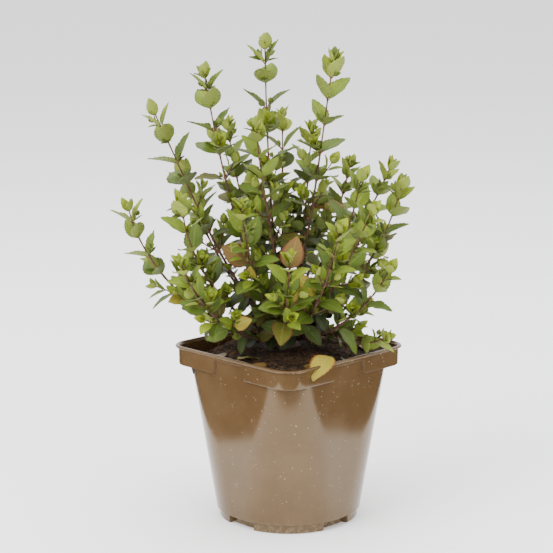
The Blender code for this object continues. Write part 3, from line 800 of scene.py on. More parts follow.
@dataclass(frozen=True)
class Rule:
    """Where leaf pairs and side branches stand, counted from a tip downwards."""

    tip_clear: float = 0.0035
    internode: float = 0.0250
    internode_rise: float = 1.6
    leaf_length: float = 0.0265
    leaf_aspect: float = 0.60
    leaf_young: float = 0.52
    leaf_rise: float = 2.2
    old_from: int = 5
    old_loss: float = 0.030
    old_least: float = 0.6
    length_spread: tuple[float, float] = (0.84, 1.10)
    width_spread: tuple[float, float] = (0.86, 1.12)
    start_spread: float = 29.0
    pair_spread: float = 14.0
    half_spread: float = 8.0
    angle_young: float = 24.0
    angle_growth: float = 8.0
    angle_most: float = 88.0
    angle_spread: float = 9.0
    sink: float = 0.0002
    drop_from: int = 7
    drop_rise: float = 3.0
    drop_chance: float = 0.22
    branch_from: int = 4
    branch_chance: float = 0.80
    branch_short: float = 0.020
    branch_growth: float = 0.0055
    branch_long: float = 0.052
    branch_spread: tuple[float, float] = (0.75, 1.20)
    branch_turn: float = 15.0
    branch_angle: float = 42.0
    branch_wander: tuple[float, float] = (-10.0, 12.0)
    branch_lift: float = 0.70
    branch_scale: float = 0.72
    branch_vigour: float = 0.7
    branch_leafy: float = 0.8

    def nodes(self, length: float, vigour: float) -> list[float]:
        """Space the leaf pairs.

        Args:
            length: Length of the leafy stretch.
            vigour: How far apart the pairs stand.

        Returns:
            Their distances from the tip.
        """
        found = []
        reach = self.tip_clear
        while reach < length:
            found.append(reach)
            reach += self.internode * vigour * (1.0 - math.exp(-len(found) / self.internode_rise))
        return found

    def pair(self, course: Course, distance: float, rank: int, key: str, scale: float,
             vigour: float) -> list[Leaf]:
        """Grow the two opposite leaves of one node.

        Args:
            course: The stem's course.
            distance: The node's distance from the tip.
            rank: The node's number from the tip.
            key: The stem's key.
            scale: Size of its leaves.
            vigour: The stem's vigour.

        Returns:
            The leaves, without those that have dropped.
        """
        point, direction = course.at(course.length - distance)
        source = draws(key, "pair", rank)
        side = steady_side(direction)
        up = direction.cross(side)
        turn = 90.0 * rank + source.uniform(-self.pair_spread, self.pair_spread)
        turn += draws(key, "start").uniform(-self.start_spread, self.start_spread)
        loss = self.drop_chance * min(1.0, max(0, rank - self.drop_from) / self.drop_rise)
        steep = min(self.angle_most, self.angle_young + self.angle_growth * rank)
        pair = []
        for half in range(2):
            wander = source.uniform(-self.half_spread, self.half_spread)
            around = math.radians(turn + 180.0 * half + wander)
            outward = side * math.cos(around) + up * math.sin(around)
            angle = math.radians(steep + source.uniform(-self.angle_spread, self.angle_spread))
            heading = (direction * math.cos(angle) + outward * math.sin(angle)).normalized()
            face = (direction * math.sin(angle) - outward * math.cos(angle)).normalized()
            size = self.leaf_young + (1.0 - self.leaf_young) * (1.0 - math.exp(-rank / self.leaf_rise))
            size *= max(self.old_least, 1.0 - self.old_loss * max(0, rank - self.old_from))
            size *= source.uniform(*self.length_spread)
            length = self.leaf_length * size * scale * (0.5 + 0.5 * vigour)
            width = length * self.leaf_aspect * source.uniform(*self.width_spread)
            if source.random() >= loss:
                pair.append(Leaf(point - heading * self.sink, heading, face, length, width, rank))
        return pair

    def branches(self, course: Course, distance: float, rank: int,
                 key: str) -> list[tuple[Course, str]]:
        """Grow the side branches in the two axils of one node.

        Args:
            course: The stem's course.
            distance: The node's distance from the tip.
            rank: The node's number from the tip.
            key: The stem's key.

        Returns:
            The course and the key of each branch.
        """
        grown = []
        for half in range(2):
            source = draws(key, "branch", rank, half)
            if rank < self.branch_from or source.random() > self.branch_chance:
                continue
            length = self.branch_short + self.branch_growth * (rank - self.branch_from)
            length = min(self.branch_long, length) * source.uniform(*self.branch_spread)
            wander = source.uniform(-self.branch_turn, self.branch_turn)
            turn = math.radians(90.0 * rank + 180.0 * half + wander)
            angle = math.radians(self.branch_angle + source.uniform(*self.branch_wander))
            line = side_course(course, distance, turn, angle, length, self.branch_lift)
            grown.append((line, f"{key}/{rank}/{half}"))
        return grown


def side_course(course: Course, distance: float, turn: float, angle: float, length: float,
                lift: float) -> Course:
    """Lay the course of a side branch.

    Args:
        course: The course that it leaves.
        distance: Distance of its foot from that course's tip.
        turn: Angle round the stem in radians.
        angle: Angle from the stem in radians.
        length: The branch's length.
        lift: How far its tip turns up.

    Returns:
        The course.
    """
    point, direction = course.at(course.length - distance)
    side = steady_side(direction)
    outward = side * math.cos(turn) + direction.cross(side) * math.sin(turn)
    heading = (direction * math.cos(angle) + outward * math.sin(angle)).normalized()
    finish = (heading + Vector((0, 0, lift))).normalized()
    tip = point + heading * length * 0.6 + finish * length * 0.4
    return Course(point, point + heading * length * 0.33, tip - finish * length * 0.33, tip, 4)


class Blade:
    """Leaf blades with a toothed outline, a fold, veins and a curl, as closed skins."""

    ACROSS = (-1.0, -0.86, -0.5, -0.06, 0.06, 0.5, 0.86, 1.0)
    STRIP = (2, 0, 0, 1, 0, 0, 2)
    UNDER_SLOT = 3
    PETIOLE = 0.13
    FULL = 1.32
    THICKNESS = 0.00032
    RIB_DEPTH = 0.0006
    RIB_WIDTH = 0.12
    BASE_POWER = 0.60
    TIP_POWER = 0.94
    LEAST_WIDTH = 0.045
    TOOTH_WIDTH = 0.075
    TOOTH_REACH = 0.018
    WIDTH = (1.0, 1.12)
    FOLD = (0.10, 0.34)
    CURL = (0.02, 0.16)
    OLD_CURL = 0.10
    LEAN = 0.10
    WAVE = (0.004, 0.022)
    RIPPLES = 15.0
    QUILT = 0.018
    FULL_AGE = 8.0

    def __init__(self, teeth: int) -> None:
        """Lay out the grid of the blade and its faces.

        Args:
            teeth: Number of teeth along each margin.
        """
        rows = teeth * 2 + 1
        columns = len(self.ACROSS)
        top = np.arange(rows * columns).reshape(rows, columns)
        inside = np.arange((rows - 2) * (columns - 2)).reshape(rows - 2, columns - 2)
        under = top.copy()
        under[1:-1, 1:-1] = rows * columns + inside
        self.top = quads(top)
        self.under = quads(under)[:, [0, 3, 2, 1]]
        self.slots = np.tile(np.array(self.STRIP), rows - 1)
        t, s = np.meshgrid(np.linspace(0.0, 1.0, rows), np.array(self.ACROSS), indexing="ij")
        self.t, self.s = t, s
        profile = t ** self.BASE_POWER * (1.0 - t) ** self.TIP_POWER
        self.profile = np.maximum(profile / profile.max(), self.LEAST_WIDTH)
        bite = np.where(np.arange(rows) % 2 == 1, 1.0, 0.0)[:, None]
        self.tooth = bite * (np.abs(s) > 0.9)
        marks = np.stack([t, s * 0.5 + 0.5], axis=-1)
        self.marks = np.concatenate([marks.reshape(-1, 2), marks[1:-1, 1:-1].reshape(-1, 2)])

    def add(self, skin: Skin, leaf: Leaf, source: random.Random) -> None:
        """Add one blade.

        Args:
            skin: What it is added to.
            leaf: The leaf it belongs to.
            source: Random draws for its fold, curl and waves.
        """
        age = min(1.0, leaf.age / self.FULL_AGE)
        fold = source.uniform(*self.FOLD) * (1.15 - 0.5 * age)
        curl = source.uniform(*self.CURL) + self.OLD_CURL * age
        lean = source.uniform(-self.LEAN, self.LEAN)
        wave = source.uniform(*self.WAVE)
        phase = source.uniform(0.0, TAU)
        length = leaf.length * self.FULL
        half = leaf.width * 0.5 * self.FULL * source.uniform(*self.WIDTH)
        heading = np.array(leaf.heading)
        across = np.array(leaf.heading.cross(leaf.face).normalized())
        face = np.cross(across, heading)
        start = np.array(leaf.root) + heading * leaf.length * self.PETIOLE
        t, s, side = self.t, self.s, np.abs(self.s)
        reach = self.profile * half * (1.0 + self.TOOTH_WIDTH * self.tooth)
        quilt = np.cos(TAU * (t * VEINS - side * SLANT)) * side * (1.0 - side)
        height = fold * side ** 1.2 * reach - curl * length * t ** 2.2
        height += wave * length * np.sin(t * self.RIPPLES + phase) * s ** 2 * np.sign(s)
        height += quilt * length * self.QUILT * np.sin(np.pi * t)
        forward = length * (t * (1.0 - 0.35 * curl) + self.TOOTH_REACH * self.tooth)
        sideways = reach * s + lean * length * t ** 2
        top = start + forward[..., None] * heading + sideways[..., None] * across
        top = top + height[..., None] * face
        body = self.THICKNESS * (1.0 - s ** 4) * np.minimum(1.0, 6.0 * t * (1.0 - t))
        body += self.RIB_DEPTH * np.exp(-(s / self.RIB_WIDTH) ** 2) * (1.0 - t)
        under = (top - body[..., None] * face)[1:-1, 1:-1]
        skin.add(np.concatenate([top.reshape(-1, 3), under.reshape(-1, 3)]),
                 [(self.top, self.slots), (self.under, self.UNDER_SLOT)], self.marks)


class Accent(NamedTuple):
    """A leaf whose colour stands out: place in the front view, colour, facing and length."""

    across: float
    down: float
    tint: Tint
    facing: float
    length: float = 0.0


ACCENTS = (
    Accent(242, 257, Tint.BRONZE, 0.7, 0.024), Accent(293, 266, Tint.BRONZE, 0.8, 0.024),
    Accent(308, 219, Tint.ORANGE, 0.5), Accent(286, 202, Tint.RED, 0.3),
    Accent(258, 273, Tint.YELLOW, 0.2), Accent(235, 312, Tint.YELLOW, 0.5),
    Accent(231, 335, Tint.YELLOW, 0.6), Accent(262, 337, Tint.OLIVE, 0.4),
    Accent(278, 326, Tint.OLIVE, 0.4), Accent(295, 297, Tint.YELLOW, 0.4),
    Accent(175, 309, Tint.YELLOW, 0.6), Accent(182, 322, Tint.OLIVE, 0.4),
    Accent(129, 270, Tint.YELLOW, 0.2), Accent(143, 282, Tint.ORANGE, 0.3),
    Accent(207, 318, Tint.BRONZE, 0.1), Accent(155, 310, Tint.RED, 0.2),
    Accent(262, 190, Tint.OLIVE, 0.2), Accent(330, 200, Tint.BRONZE, 0.2),
    Accent(262, 165, Tint.OLIVE, 0.3), Accent(205, 170, Tint.OLIVE, 0.2),
    Accent(384, 238, Tint.OLIVE, 0.2),
)


@dataclass(frozen=True)
class Lens:
    """The camera: where it stands, its pitch and its focal length."""

    place: tuple[float, float, float] = (-0.0119, -1.8, 0.608)
    pitch: float = 0.2007
    focal: float = 1868.5
    frame: float = 553.0
    sensor: float = 36.0

    def build(self) -> None:
        """Add the camera and use it."""
        data = bpy.data.cameras.new("camera")
        data.sensor_width = self.sensor
        data.lens = self.focal / self.frame * self.sensor
        data.clip_end = 100.0
        made = bpy.data.objects.new("camera", data)
        made.location = self.place
        made.rotation_euler = (math.pi / 2.0 - self.pitch, 0.0, 0.0)
        bpy.context.scene.collection.objects.link(made)
        bpy.context.scene.camera = made

    def seen(self, point: Vector) -> tuple[float, float]:
        """Where a point shows in the front view, in pixels from the top left."""
        away = point - Vector(self.place)
        depth = away.y * math.cos(self.pitch) - away.z * math.sin(self.pitch)
        rise = away.z * math.cos(self.pitch) + away.y * math.sin(self.pitch)
        middle = self.frame / 2.0
        return middle + self.focal * away.x / depth, middle - self.focal * rise / depth


@dataclass
class Plant:
    """The shrub: bark, young stems and leaves, grown by the rule."""

    stock: Stock
    rule: Rule
    lens: Lens
    bough_radii: tuple[float, float] = (0.0019, 0.0014)
    stem_radii: tuple[float, float] = (0.0014, 0.0006)
    twig_radii: tuple[float, float] = (0.00085, 0.0005)
    petiole_radius: float = 0.00042
    soil_top: float = 0.176
    small_leaf: float = 0.0125
    piece_limit: int = 185000

    def __post_init__(self) -> None:
        self.bark = Skin()
        self.stems = Skin()
        self.leaves: list[tuple[Leaf, Tint, str]] = []

    def tint_for(self, leaf: Leaf, source: random.Random, dark: float) -> Tint:
        """Colour of a leaf by its age, with painted shade: the deeper in the crown it stands, the darker."""
        chance = source.random()
        # Painted shade: dark is added to the age, so leaves in shade get darker colours.
        age = leaf.age + dark + source.uniform(-0.9, 0.9)
        if age > 4.5 and chance < 0.05 + 0.006 * age:
            return source.choice(ODD)
        for limit, tint in AGES:
            if age < limit:
                return tint
        return Tint.SHADE

    def keep(self, leaf: Leaf, key: str, dark: float = 0.0) -> None:
        """Keep a leaf with its colour, unless it would reach into the compost."""
        end = leaf.root + leaf.heading * leaf.length * 1.3
        radial = math.hypot(end.x, end.y)
        if end.z < self.soil_top and radial < 0.105:
            return
        source = draws(key, "tint", leaf.age, round(leaf.root.z * 1e5), round(leaf.heading.x * 1e4))
        self.leaves.append((leaf, self.tint_for(leaf, source, dark), key))

    def tuft(self, course: Course, distance: float, rank: int, key: str, dark: float) -> None:
        """Small young leaves in the axils of a node."""
        for half in range(2):
            source = draws(key, "tuft", rank, half)
            if source.random() > 0.62:
                continue
            turn = math.radians(90.0 * rank + 180.0 * half + source.uniform(-20.0, 20.0))
            angle = math.radians(source.uniform(26.0, 44.0))
            line = side_course(course, distance, turn, angle, source.uniform(0.006, 0.013), 0.3)
            add_tube(self.stems, line.points, [0.00045] * len(line.points), 4, 0.0, 1, 0.0, key)
            scale = source.uniform(0.34, 0.62)
            for step, reach in enumerate(self.rule.nodes(line.length * 0.9, 0.4)[:2]):
                for leaf in self.rule.pair(line, reach, step, f"{key}/tuft/{rank}/{half}", scale, 0.9):
                    # Painted shade: tuft leaves in the axils get darker colours, more so deep in the crown.
                    self.keep(leaf._replace(age=step + 1), key, dark * 0.5 + 1.3)

    def grow_branch(self, line: Course, key: str, dark: float, scale: float) -> None:
        """A side branch with its leaf pairs."""
        count = 7
        points = [line.at(line.length * k / (count - 1))[0] for k in range(count)]
        radii = np.linspace(*self.twig_radii, count)
        add_tube(self.stems, points, radii, 6, 0.08, 0, 0.05, key)
        nodes = self.rule.nodes(line.length * self.rule.branch_leafy, self.rule.branch_vigour)
        for step, reach in enumerate(nodes):
            for leaf in self.rule.pair(line, reach, step, key, scale, 1.0):
                self.keep(leaf, key, dark)
        self.bud(line, key, scale, dark)

    def bud(self, course: Course, key: str, scale: float, dark: float = 0.0) -> None:
        """The tightest pair of leaves at a tip."""
        for leaf in self.rule.pair(course, 0.0006, 1, f"{key}/bud", scale * 0.52, 1.0):
            direction = course.at(course.length)[1]
            heading = (leaf.heading + direction * 1.2).normalized()
            self.keep(leaf._replace(heading=heading, age=0), key, dark)

    def grow_shoot(self, shoot: Shoot, heading: Vector) -> None:
        """A whole shoot: bare bough, leafy stem, branches and tufts."""
        course = self.stock.course(shoot, heading)
        split = course.length * shoot.bare
        nodes = self.rule.nodes(course.length * 0.93, shoot.vigour)
        leafy = course.length - split - 0.0026
        self.limb(course, shoot, split, nodes)
        for rank, distance in enumerate(nodes):
            point, _ = course.at(course.length - distance)
            centre = math.hypot(point.x - self.stock.x, point.y)
            # Painted shade: leaves near the middle of the crown and low down get darker colours.
            dark = 3.4 * ease((0.075 - centre) / 0.05) * ease((0.33 - point.z) / 0.12)
            if distance < leafy:
                for leaf in self.rule.pair(course, distance, rank, shoot.name, 1.0, shoot.vigour):
                    self.keep(leaf, shoot.name, dark)
                for line, key in self.rule.branches(course, distance, rank, shoot.name):
                    # Painted shade: a side branch's leaves get darker colours than the shoot's own.
                    self.grow_branch(line, key, dark + 0.6, self.rule.branch_scale)
            else:
                # Painted shade: the leaves below the leafy stretch get darker colours.
                for leaf in self.rule.pair(course, distance, rank, shoot.name, 0.78, shoot.vigour):
                    if draws(shoot.name, "low", rank, round(leaf.heading.x * 1e4)).random() < 0.80:
                        self.keep(leaf, shoot.name, dark + 1.4)
            self.tuft(course, distance, rank, shoot.name, dark)
        self.bud(course, shoot.name, 1.0)

    def limb(self, course: Course, shoot: Shoot, split: float, nodes: list[float]) -> None:
        """The bark of the bough and the stem above it, thicker at the leaf nodes."""
        marks = [course.length - distance for distance in nodes]
        for skin, start, end, radii, slot, square in (
                (self.bark, 0.0, split, self.bough_radii, 0, 0.07),
                (self.stems, split - 0.0005, course.length, self.stem_radii, 0, 0.12)):
            count = 2 + round((end - start) / 0.0035)
            points, sizes = [], []
            for k in range(count):
                share = k / (count - 1)
                spot = start + (end - start) * share
                points.append(course.at(spot)[0])
                swell = sum(math.exp(-((spot - mark) / 0.0022) ** 2) for mark in marks)
                sizes.append((radii[0] + (radii[1] - radii[0]) * share) * (1.0 + 0.28 * min(1.0, swell)))
            add_tube(skin, points, sizes, 8, square, slot, 0.05, shoot.name)

    def pick_accents(self) -> None:
        """Give the nearest leaf at each accent its colour, and turn it to the front."""
        used = set()
        for accent in ACCENTS:
            best, found = 18.0, None
            for index, (leaf, _, _) in enumerate(self.leaves):
                if index in used or leaf.length < 0.012:
                    continue
                middle = leaf.root + leaf.heading * leaf.length * 0.6
                across, down = self.lens.seen(middle)
                miss = math.hypot(across - accent.across, down - accent.down)
                if miss < 18.0:
                    miss += (middle.y + 0.12) * 60.0
                    if miss < best:
                        best, found = miss, index
            if found is None:
                continue
            used.add(found)
            leaf, _, key = self.leaves[found]
            front = Vector((0.0, -1.0, 0.15))
            front -= leaf.heading * front.dot(leaf.heading)
            face = (leaf.face * (1.0 - accent.facing) + front.normalized() * accent.facing).normalized()
            length = accent.length or leaf.length
            width = leaf.width * length / leaf.length
            self.leaves[found] = (leaf._replace(face=face, length=length, width=width), accent.tint, key)
        LOG.info("accents: %d of %d", len(used), len(ACCENTS))

    def build(self) -> None:
        """Grow the plant and make its pieces."""
        self.stock.add(self.bark)
        for shoot, heading in zip(SHOOTS, self.stock.headings()):
            self.grow_shoot(shoot, heading)
        self.pick_accents()
        large, small = Blade(8), Blade(4)
        groups: dict[Tint, list[Skin]] = defaultdict(list)
        for index, (leaf, tint, key) in enumerate(self.leaves):
            skins = groups[tint]
            if not skins or skins[-1].triangles > self.piece_limit:
                skins.append(Skin())
            source = draws(key, "blade", index)
            (small if leaf.length < self.small_leaf else large).add(skins[-1], leaf, source)
            base = leaf.root + leaf.heading * leaf.length * (Blade.PETIOLE + 0.05)
            middle = leaf.root.lerp(base, 0.5) - leaf.face * leaf.length * 0.012
            thick = self.petiole_radius * (0.6 + 0.4 * min(1.0, leaf.length / 0.02))
            add_tube(self.stems, [leaf.root, middle, base], [thick * 1.25, thick, thick * 0.8], 5, 0.0, 1)
        foliage = [f"foliage_{shoot.name}" for shoot in SHOOTS]
        boughs = [f"bough_{shoot.name}" for shoot in SHOOTS]
        wood = BarkFinish("bark_wood", linear(58, 40, 32), linear(122, 84, 62), linear(98, 88, 58)).build()
        young = BarkFinish("bark_young", linear(92, 54, 44), linear(140, 92, 66),
                           linear(122, 120, 62), 0.00015)
        stalk = BarkFinish("stalk", linear(124, 66, 58), linear(154, 106, 76), linear(140, 140, 72), 0.0001)
        self.dress(self.bark.build("bark_limbs", [wood]), "bark", ["stock", *boughs])
        self.dress(self.stems.build("young_stems", [young.build(), stalk.build()]), "bark", foliage)
        for tint, skins in groups.items():
            materials = tint.materials()
            for number, skin in enumerate(skins):
                piece = skin.build(f"leaves_{tint.name.lower()}_{number}", materials)
                self.dress(piece, "leaf", foliage)
                LOG.info("%s: %d triangles", piece.name, skin.triangles)
        LOG.info("leaves: %d, stems: %d triangles", len(self.leaves), self.stems.triangles)

    @staticmethod
    def dress(piece: Any, slot: str, nodes: Sequence[str]) -> None:
        """Attach a piece to the body, and hide the parts of the solids that it stands for."""
        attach(piece, BODY)
        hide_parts(*nodes)


# Pot and compost

@dataclass(frozen=True)
class Pot:
    """The nursery pot: square rim, round foot, collar cut short at the mid-sides."""

    height: float = 0.174
    rim_half: float = 0.085
    rim_corner: float = 0.020
    bead_depth: float = 0.003
    collar_depth: float = 0.0194
    lip_depth: float = 0.0060
    collar_half: float = 0.0830
    collar_corner: float = 0.0212
    wall_top: tuple[float, float] = (0.0803, 0.037)
    wall_foot: tuple[float, float] = (0.0698, 0.0650)
    foot_height: float = 0.0089
    foot: tuple[float, float] = (0.0668, 0.0620)
    wall: float = 0.0014
    floor: float = 0.0020
    pocket_depth: float = 0.0060
    notch_angle: float = 12.9
    notch_top: float = 13.4
    notch_foot: float = 14.6
    wall_rows: int = 14
    fine: float = 1.5

    def reach(self, angle: float, half: float, corner: float) -> float:
        """Distance from the middle to a rounded square, in degrees from a side's normal."""
        fold = math.radians(abs((angle + 45.0) % 90.0 - 45.0))
        inner = half - corner
        if half * math.tan(fold) <= inner:
            return half / math.cos(fold)
        along = inner * (math.cos(fold) + math.sin(fold))
        return along + math.sqrt(along * along - 2.0 * inner * inner + corner * corner)

    def columns(self) -> list[tuple[float, int, bool]]:
        """Angle from a side's middle, side number and whether it is in a notch."""
        count = round((45.0 - self.notch_foot) / self.fine)
        outer = [self.notch_foot + (45.0 - self.notch_foot) * k / count for k in range(1, count + 1)]
        inner = [self.notch_angle * k / 6 for k in range(1, 6)]
        half = [(angle, True) for angle in inner + [self.notch_angle]]
        half += [(angle, False) for angle in [self.notch_foot] + outer]
        found = []
        for side in range(4):
            found += [(-angle, side, notch) for angle, notch in reversed(half[:-1])]
            found.append((0.0, side, True))
            found += [(angle, side, notch) for angle, notch in half]
        return found

    def wall_at(self, z: float) -> tuple[float, float]:
        """Half side and corner radius of the wall at a height."""
        share = (z - self.foot_height) / (self.height - self.lip_depth - self.foot_height)
        return tuple(low + (high - low) * share for low, high in zip(self.wall_foot, self.wall_top))

    def point(self, column: tuple[float, int, bool], half: float, corner: float, z: float) -> tuple:
        """Point of one column on a rounded square, with the slant of the notch's ends."""
        angle, side, _ = column
        low, high = self.height - self.collar_depth, self.height
        rise = min(1.0, max(0.0, (z - low) / (high - low)))
        if abs(angle) == self.notch_foot:
            angle = math.copysign(self.notch_foot + (self.notch_top - self.notch_foot) * rise, angle)
        if abs(angle) == self.notch_angle:
            slant = self.notch_foot - 0.45 + (self.notch_top - self.notch_foot) * rise
            angle = math.copysign(max(self.notch_angle, slant), angle)
        heading = math.radians(angle + 45.0 + 90.0 * side)
        away = self.reach(angle, half, corner)
        return away * math.cos(heading), away * math.sin(heading), z

    def profile(self, column: tuple[float, int, bool]) -> list[tuple]:
        """One column of the pot's skin, from the underside round to the inner floor."""
        notch = column[2]
        inset = self.pocket_depth if notch else 0.0
        step = self.height - (self.lip_depth if notch else self.collar_depth)
        foot, corner = self.foot[0] - inset, self.foot[1] - inset
        line = [self.point(column, foot - 0.0010, corner - 0.0010, 0.0),
                self.point(column, foot - 0.0003, corner - 0.0003, 0.0003),
                self.point(column, foot, corner, 0.0010),
                self.point(column, foot, corner, self.foot_height - 0.0004)]
        if notch:
            line.append(self.point(column, self.foot[0], self.foot[1], self.foot_height - 0.0003))
        else:
            line.append(self.point(column, foot + 0.0002, corner + 0.0002, self.foot_height - 0.0002))
        line.append(self.point(column, self.wall_foot[0] - 0.0004, self.wall_foot[1] - 0.0004,
                               self.foot_height))
        for row in range(self.wall_rows + 1):
            z = self.foot_height + 0.0004 + (step - self.foot_height - 0.0004) * row / self.wall_rows
            line.append(self.point(column, *self.wall_at(z), z))
        edge = step + 0.0001
        for inward, rise in ((0.0007, 0.0), (0.0002, 0.0002), (0.0, 0.0007)):
            line.append(self.point(column, self.collar_half - inward, self.collar_corner - inward,
                                   edge + rise))
        bead = self.height - self.bead_depth
        line.append(self.point(column, self.collar_half + 0.0001, self.collar_corner, bead - 0.0003))
        middle_z = self.height - self.bead_depth * 0.5
        for turn in (-75, -50, -20, 10, 40, 65, 90):
            out = 0.0017 * math.cos(math.radians(turn))
            rise = self.bead_depth * 0.5 * math.sin(math.radians(turn))
            line.append(self.point(column, self.rim_half - 0.0017 + out, self.rim_corner, middle_z + rise))
        for inward, drop in ((0.0026, 0.0001), (0.0030, 0.0006)):
            line.append(self.point(column, self.rim_half - inward, self.rim_corner - 0.001,
                                   self.height - drop))
        thick = self.wall
        half, bend = self.collar_half - thick, self.collar_corner - thick
        line.append(self.point(column, half, bend, bead - 0.0005))
        line.append(self.point(column, half, bend, step + thick + 0.0003))
        inner = step + thick
        for row in range(4):
            z = inner + (self.foot_height + thick - inner) * row / 3
            half, bend = self.wall_at(z)
            line.append(self.point(column, half - thick, bend - thick, z))
        deep = thick + inset
        half, bend = self.foot[0] - deep, self.foot[1] - deep
        line.append(self.point(column, half, bend, self.foot_height + thick * 0.8))
        line.append(self.point(column, half, bend, self.floor))
        return line

    def build(self) -> None:
        """Make the pot's piece."""
        columns = self.columns()
        rows = np.array([self.profile(column) for column in columns]).transpose(1, 0, 2)
        count = rows.shape[0]
        points = np.concatenate([rows.reshape(-1, 3), [[0.0, 0.0, 0.0], [0.0, 0.0, self.floor]]])
        ring = np.arange(len(columns))
        last = ring + (count - 1) * len(columns)
        hub = count * len(columns)
        skin = Skin()
        skin.add(points, [(ring_faces(count, len(columns)), 0), (fan(ring, hub, False), 0),
                          (fan(last, hub + 1, True), 0)])
        piece = skin.build("nursery_pot", [PlasticFinish().build()], 38.0)
        Plant.dress(piece, "pot_plastic", ["pot"])
        LOG.info("pot: %d triangles", skin.triangles)


@dataclass(frozen=True)
class Litter:
    """Bits scattered over the compost by a Geometry Nodes tree."""

    name: str
    density: float
    length: float
    radius: float
    bend: float
    least: float
    seed: int
    round_bits: bool = False

    def tree(self, material: Any) -> Any:
        """Build the node tree: points on faces, bits on points, made real, with a material."""
        tree = bpy.data.node_groups.new(self.name, "GeometryNodeTree")
        tree.interface.new_socket("Geometry", in_out="INPUT", socket_type="NodeSocketGeometry")
        density = tree.interface.new_socket("Density", in_out="INPUT", socket_type="NodeSocketFloat")
        density.default_value = 1.0
        tree.interface.new_socket("Geometry", in_out="OUTPUT", socket_type="NodeSocketGeometry")

        def node(kind: str, settings: dict | None = None, **inputs: Any) -> Any:
            """Add one node of the tree."""
            made = tree.nodes.new(kind)
            for key, value in (settings or {}).items():
                setattr(made, key, value)
            for key, value in inputs.items():
                target = made.inputs[key.replace("_", " ")]
                if hasattr(value, "is_output"):
                    tree.links.new(value, target)
                else:
                    target.default_value = value
            return made

        entry = node("NodeGroupInput")
        scatter = node("GeometryNodeDistributePointsOnFaces", {"distribute_method": "RANDOM"},
                       Mesh=entry.outputs[0], Density=entry.outputs[1], Seed=self.seed)
        if self.round_bits:
            bit = node("GeometryNodeMeshIcoSphere", Radius=self.radius, Subdivisions=1).outputs["Mesh"]
        else:
            line = node("GeometryNodeCurveQuadraticBezier", Resolution=6, Start=(-self.length / 2, 0.0, 0.0),
                        Middle=(0.0, self.bend, self.bend * 0.5), End=(self.length / 2, 0.0, 0.0))
            ring = node("GeometryNodeCurvePrimitiveCircle", Resolution=4, Radius=self.radius)
            tube = node("GeometryNodeCurveToMesh", Curve=line.outputs[0], Profile_Curve=ring.outputs[0])
            tube.inputs["Fill Caps"].default_value = True
            bit = tube.outputs[0]
        lying = (0.6, 0.6, 0.0) if not self.round_bits else (3.1, 3.1, 3.1)
        turn = node("FunctionNodeRandomValue", {"data_type": "FLOAT_VECTOR"}, Seed=self.seed + 1)
        turn.inputs[0].default_value = (-lying[0], -lying[1], -3.14)
        turn.inputs[1].default_value = (lying[0], lying[1], 3.14)
        size = node("FunctionNodeRandomValue", {"data_type": "FLOAT_VECTOR"}, Seed=self.seed + 2)
        size.inputs[0].default_value = (self.least, self.least, self.least)
        size.inputs[1].default_value = (1.6, 1.2, 1.1)
        placed = node("GeometryNodeInstanceOnPoints", Points=scatter.outputs["Points"], Instance=bit,
                      Rotation=turn.outputs[0], Scale=size.outputs[0])
        real = node("GeometryNodeRealizeInstances", Geometry=placed.outputs[0])
        noise = node("ShaderNodeTexNoise", Scale=900.0, Detail=1.0)
        centred = node("ShaderNodeVectorMath", {"operation": "SUBTRACT"})
        tree.links.new(noise.outputs[1], centred.inputs[0])
        centred.inputs[1].default_value = (0.5, 0.5, 0.5)
        shift = node("ShaderNodeVectorMath", {"operation": "SCALE"}, Scale=self.radius * 1.6)
        tree.links.new(centred.outputs[0], shift.inputs[0])
        rough = node("GeometryNodeSetPosition", Geometry=real.outputs[0], Offset=shift.outputs[0])
        coated = node("GeometryNodeSetMaterial", Geometry=rough.outputs[0], Material=material)
        leave = node("NodeGroupOutput")
        tree.links.new(coated.outputs[0], leave.inputs[0])
        return tree

    def scatter(self, ground: Any, material: Any) -> Any:
        """Return a plain mesh object of bits that lie on the ground object."""
        holder = bpy.data.objects.new(self.name, ground.data.copy())
        bpy.context.scene.collection.objects.link(holder)
        tree = self.tree(material)
        modifier = holder.modifiers.new("litter", "NODES")
        modifier.node_group = tree
        for item in tree.interface.items_tree:
            if item.name == "Density":
                modifier[item.identifier] = self.density
        bpy.context.view_layer.update()
        seen = holder.evaluated_get(bpy.context.evaluated_depsgraph_get())
        mesh = bpy.data.meshes.new_from_object(seen)
        holder.modifiers.clear()
        mesh.materials.clear()
        mesh.materials.append(material)
        holder.data = mesh
        LOG.info("%s: %d faces", self.name, len(mesh.polygons))
        return holder


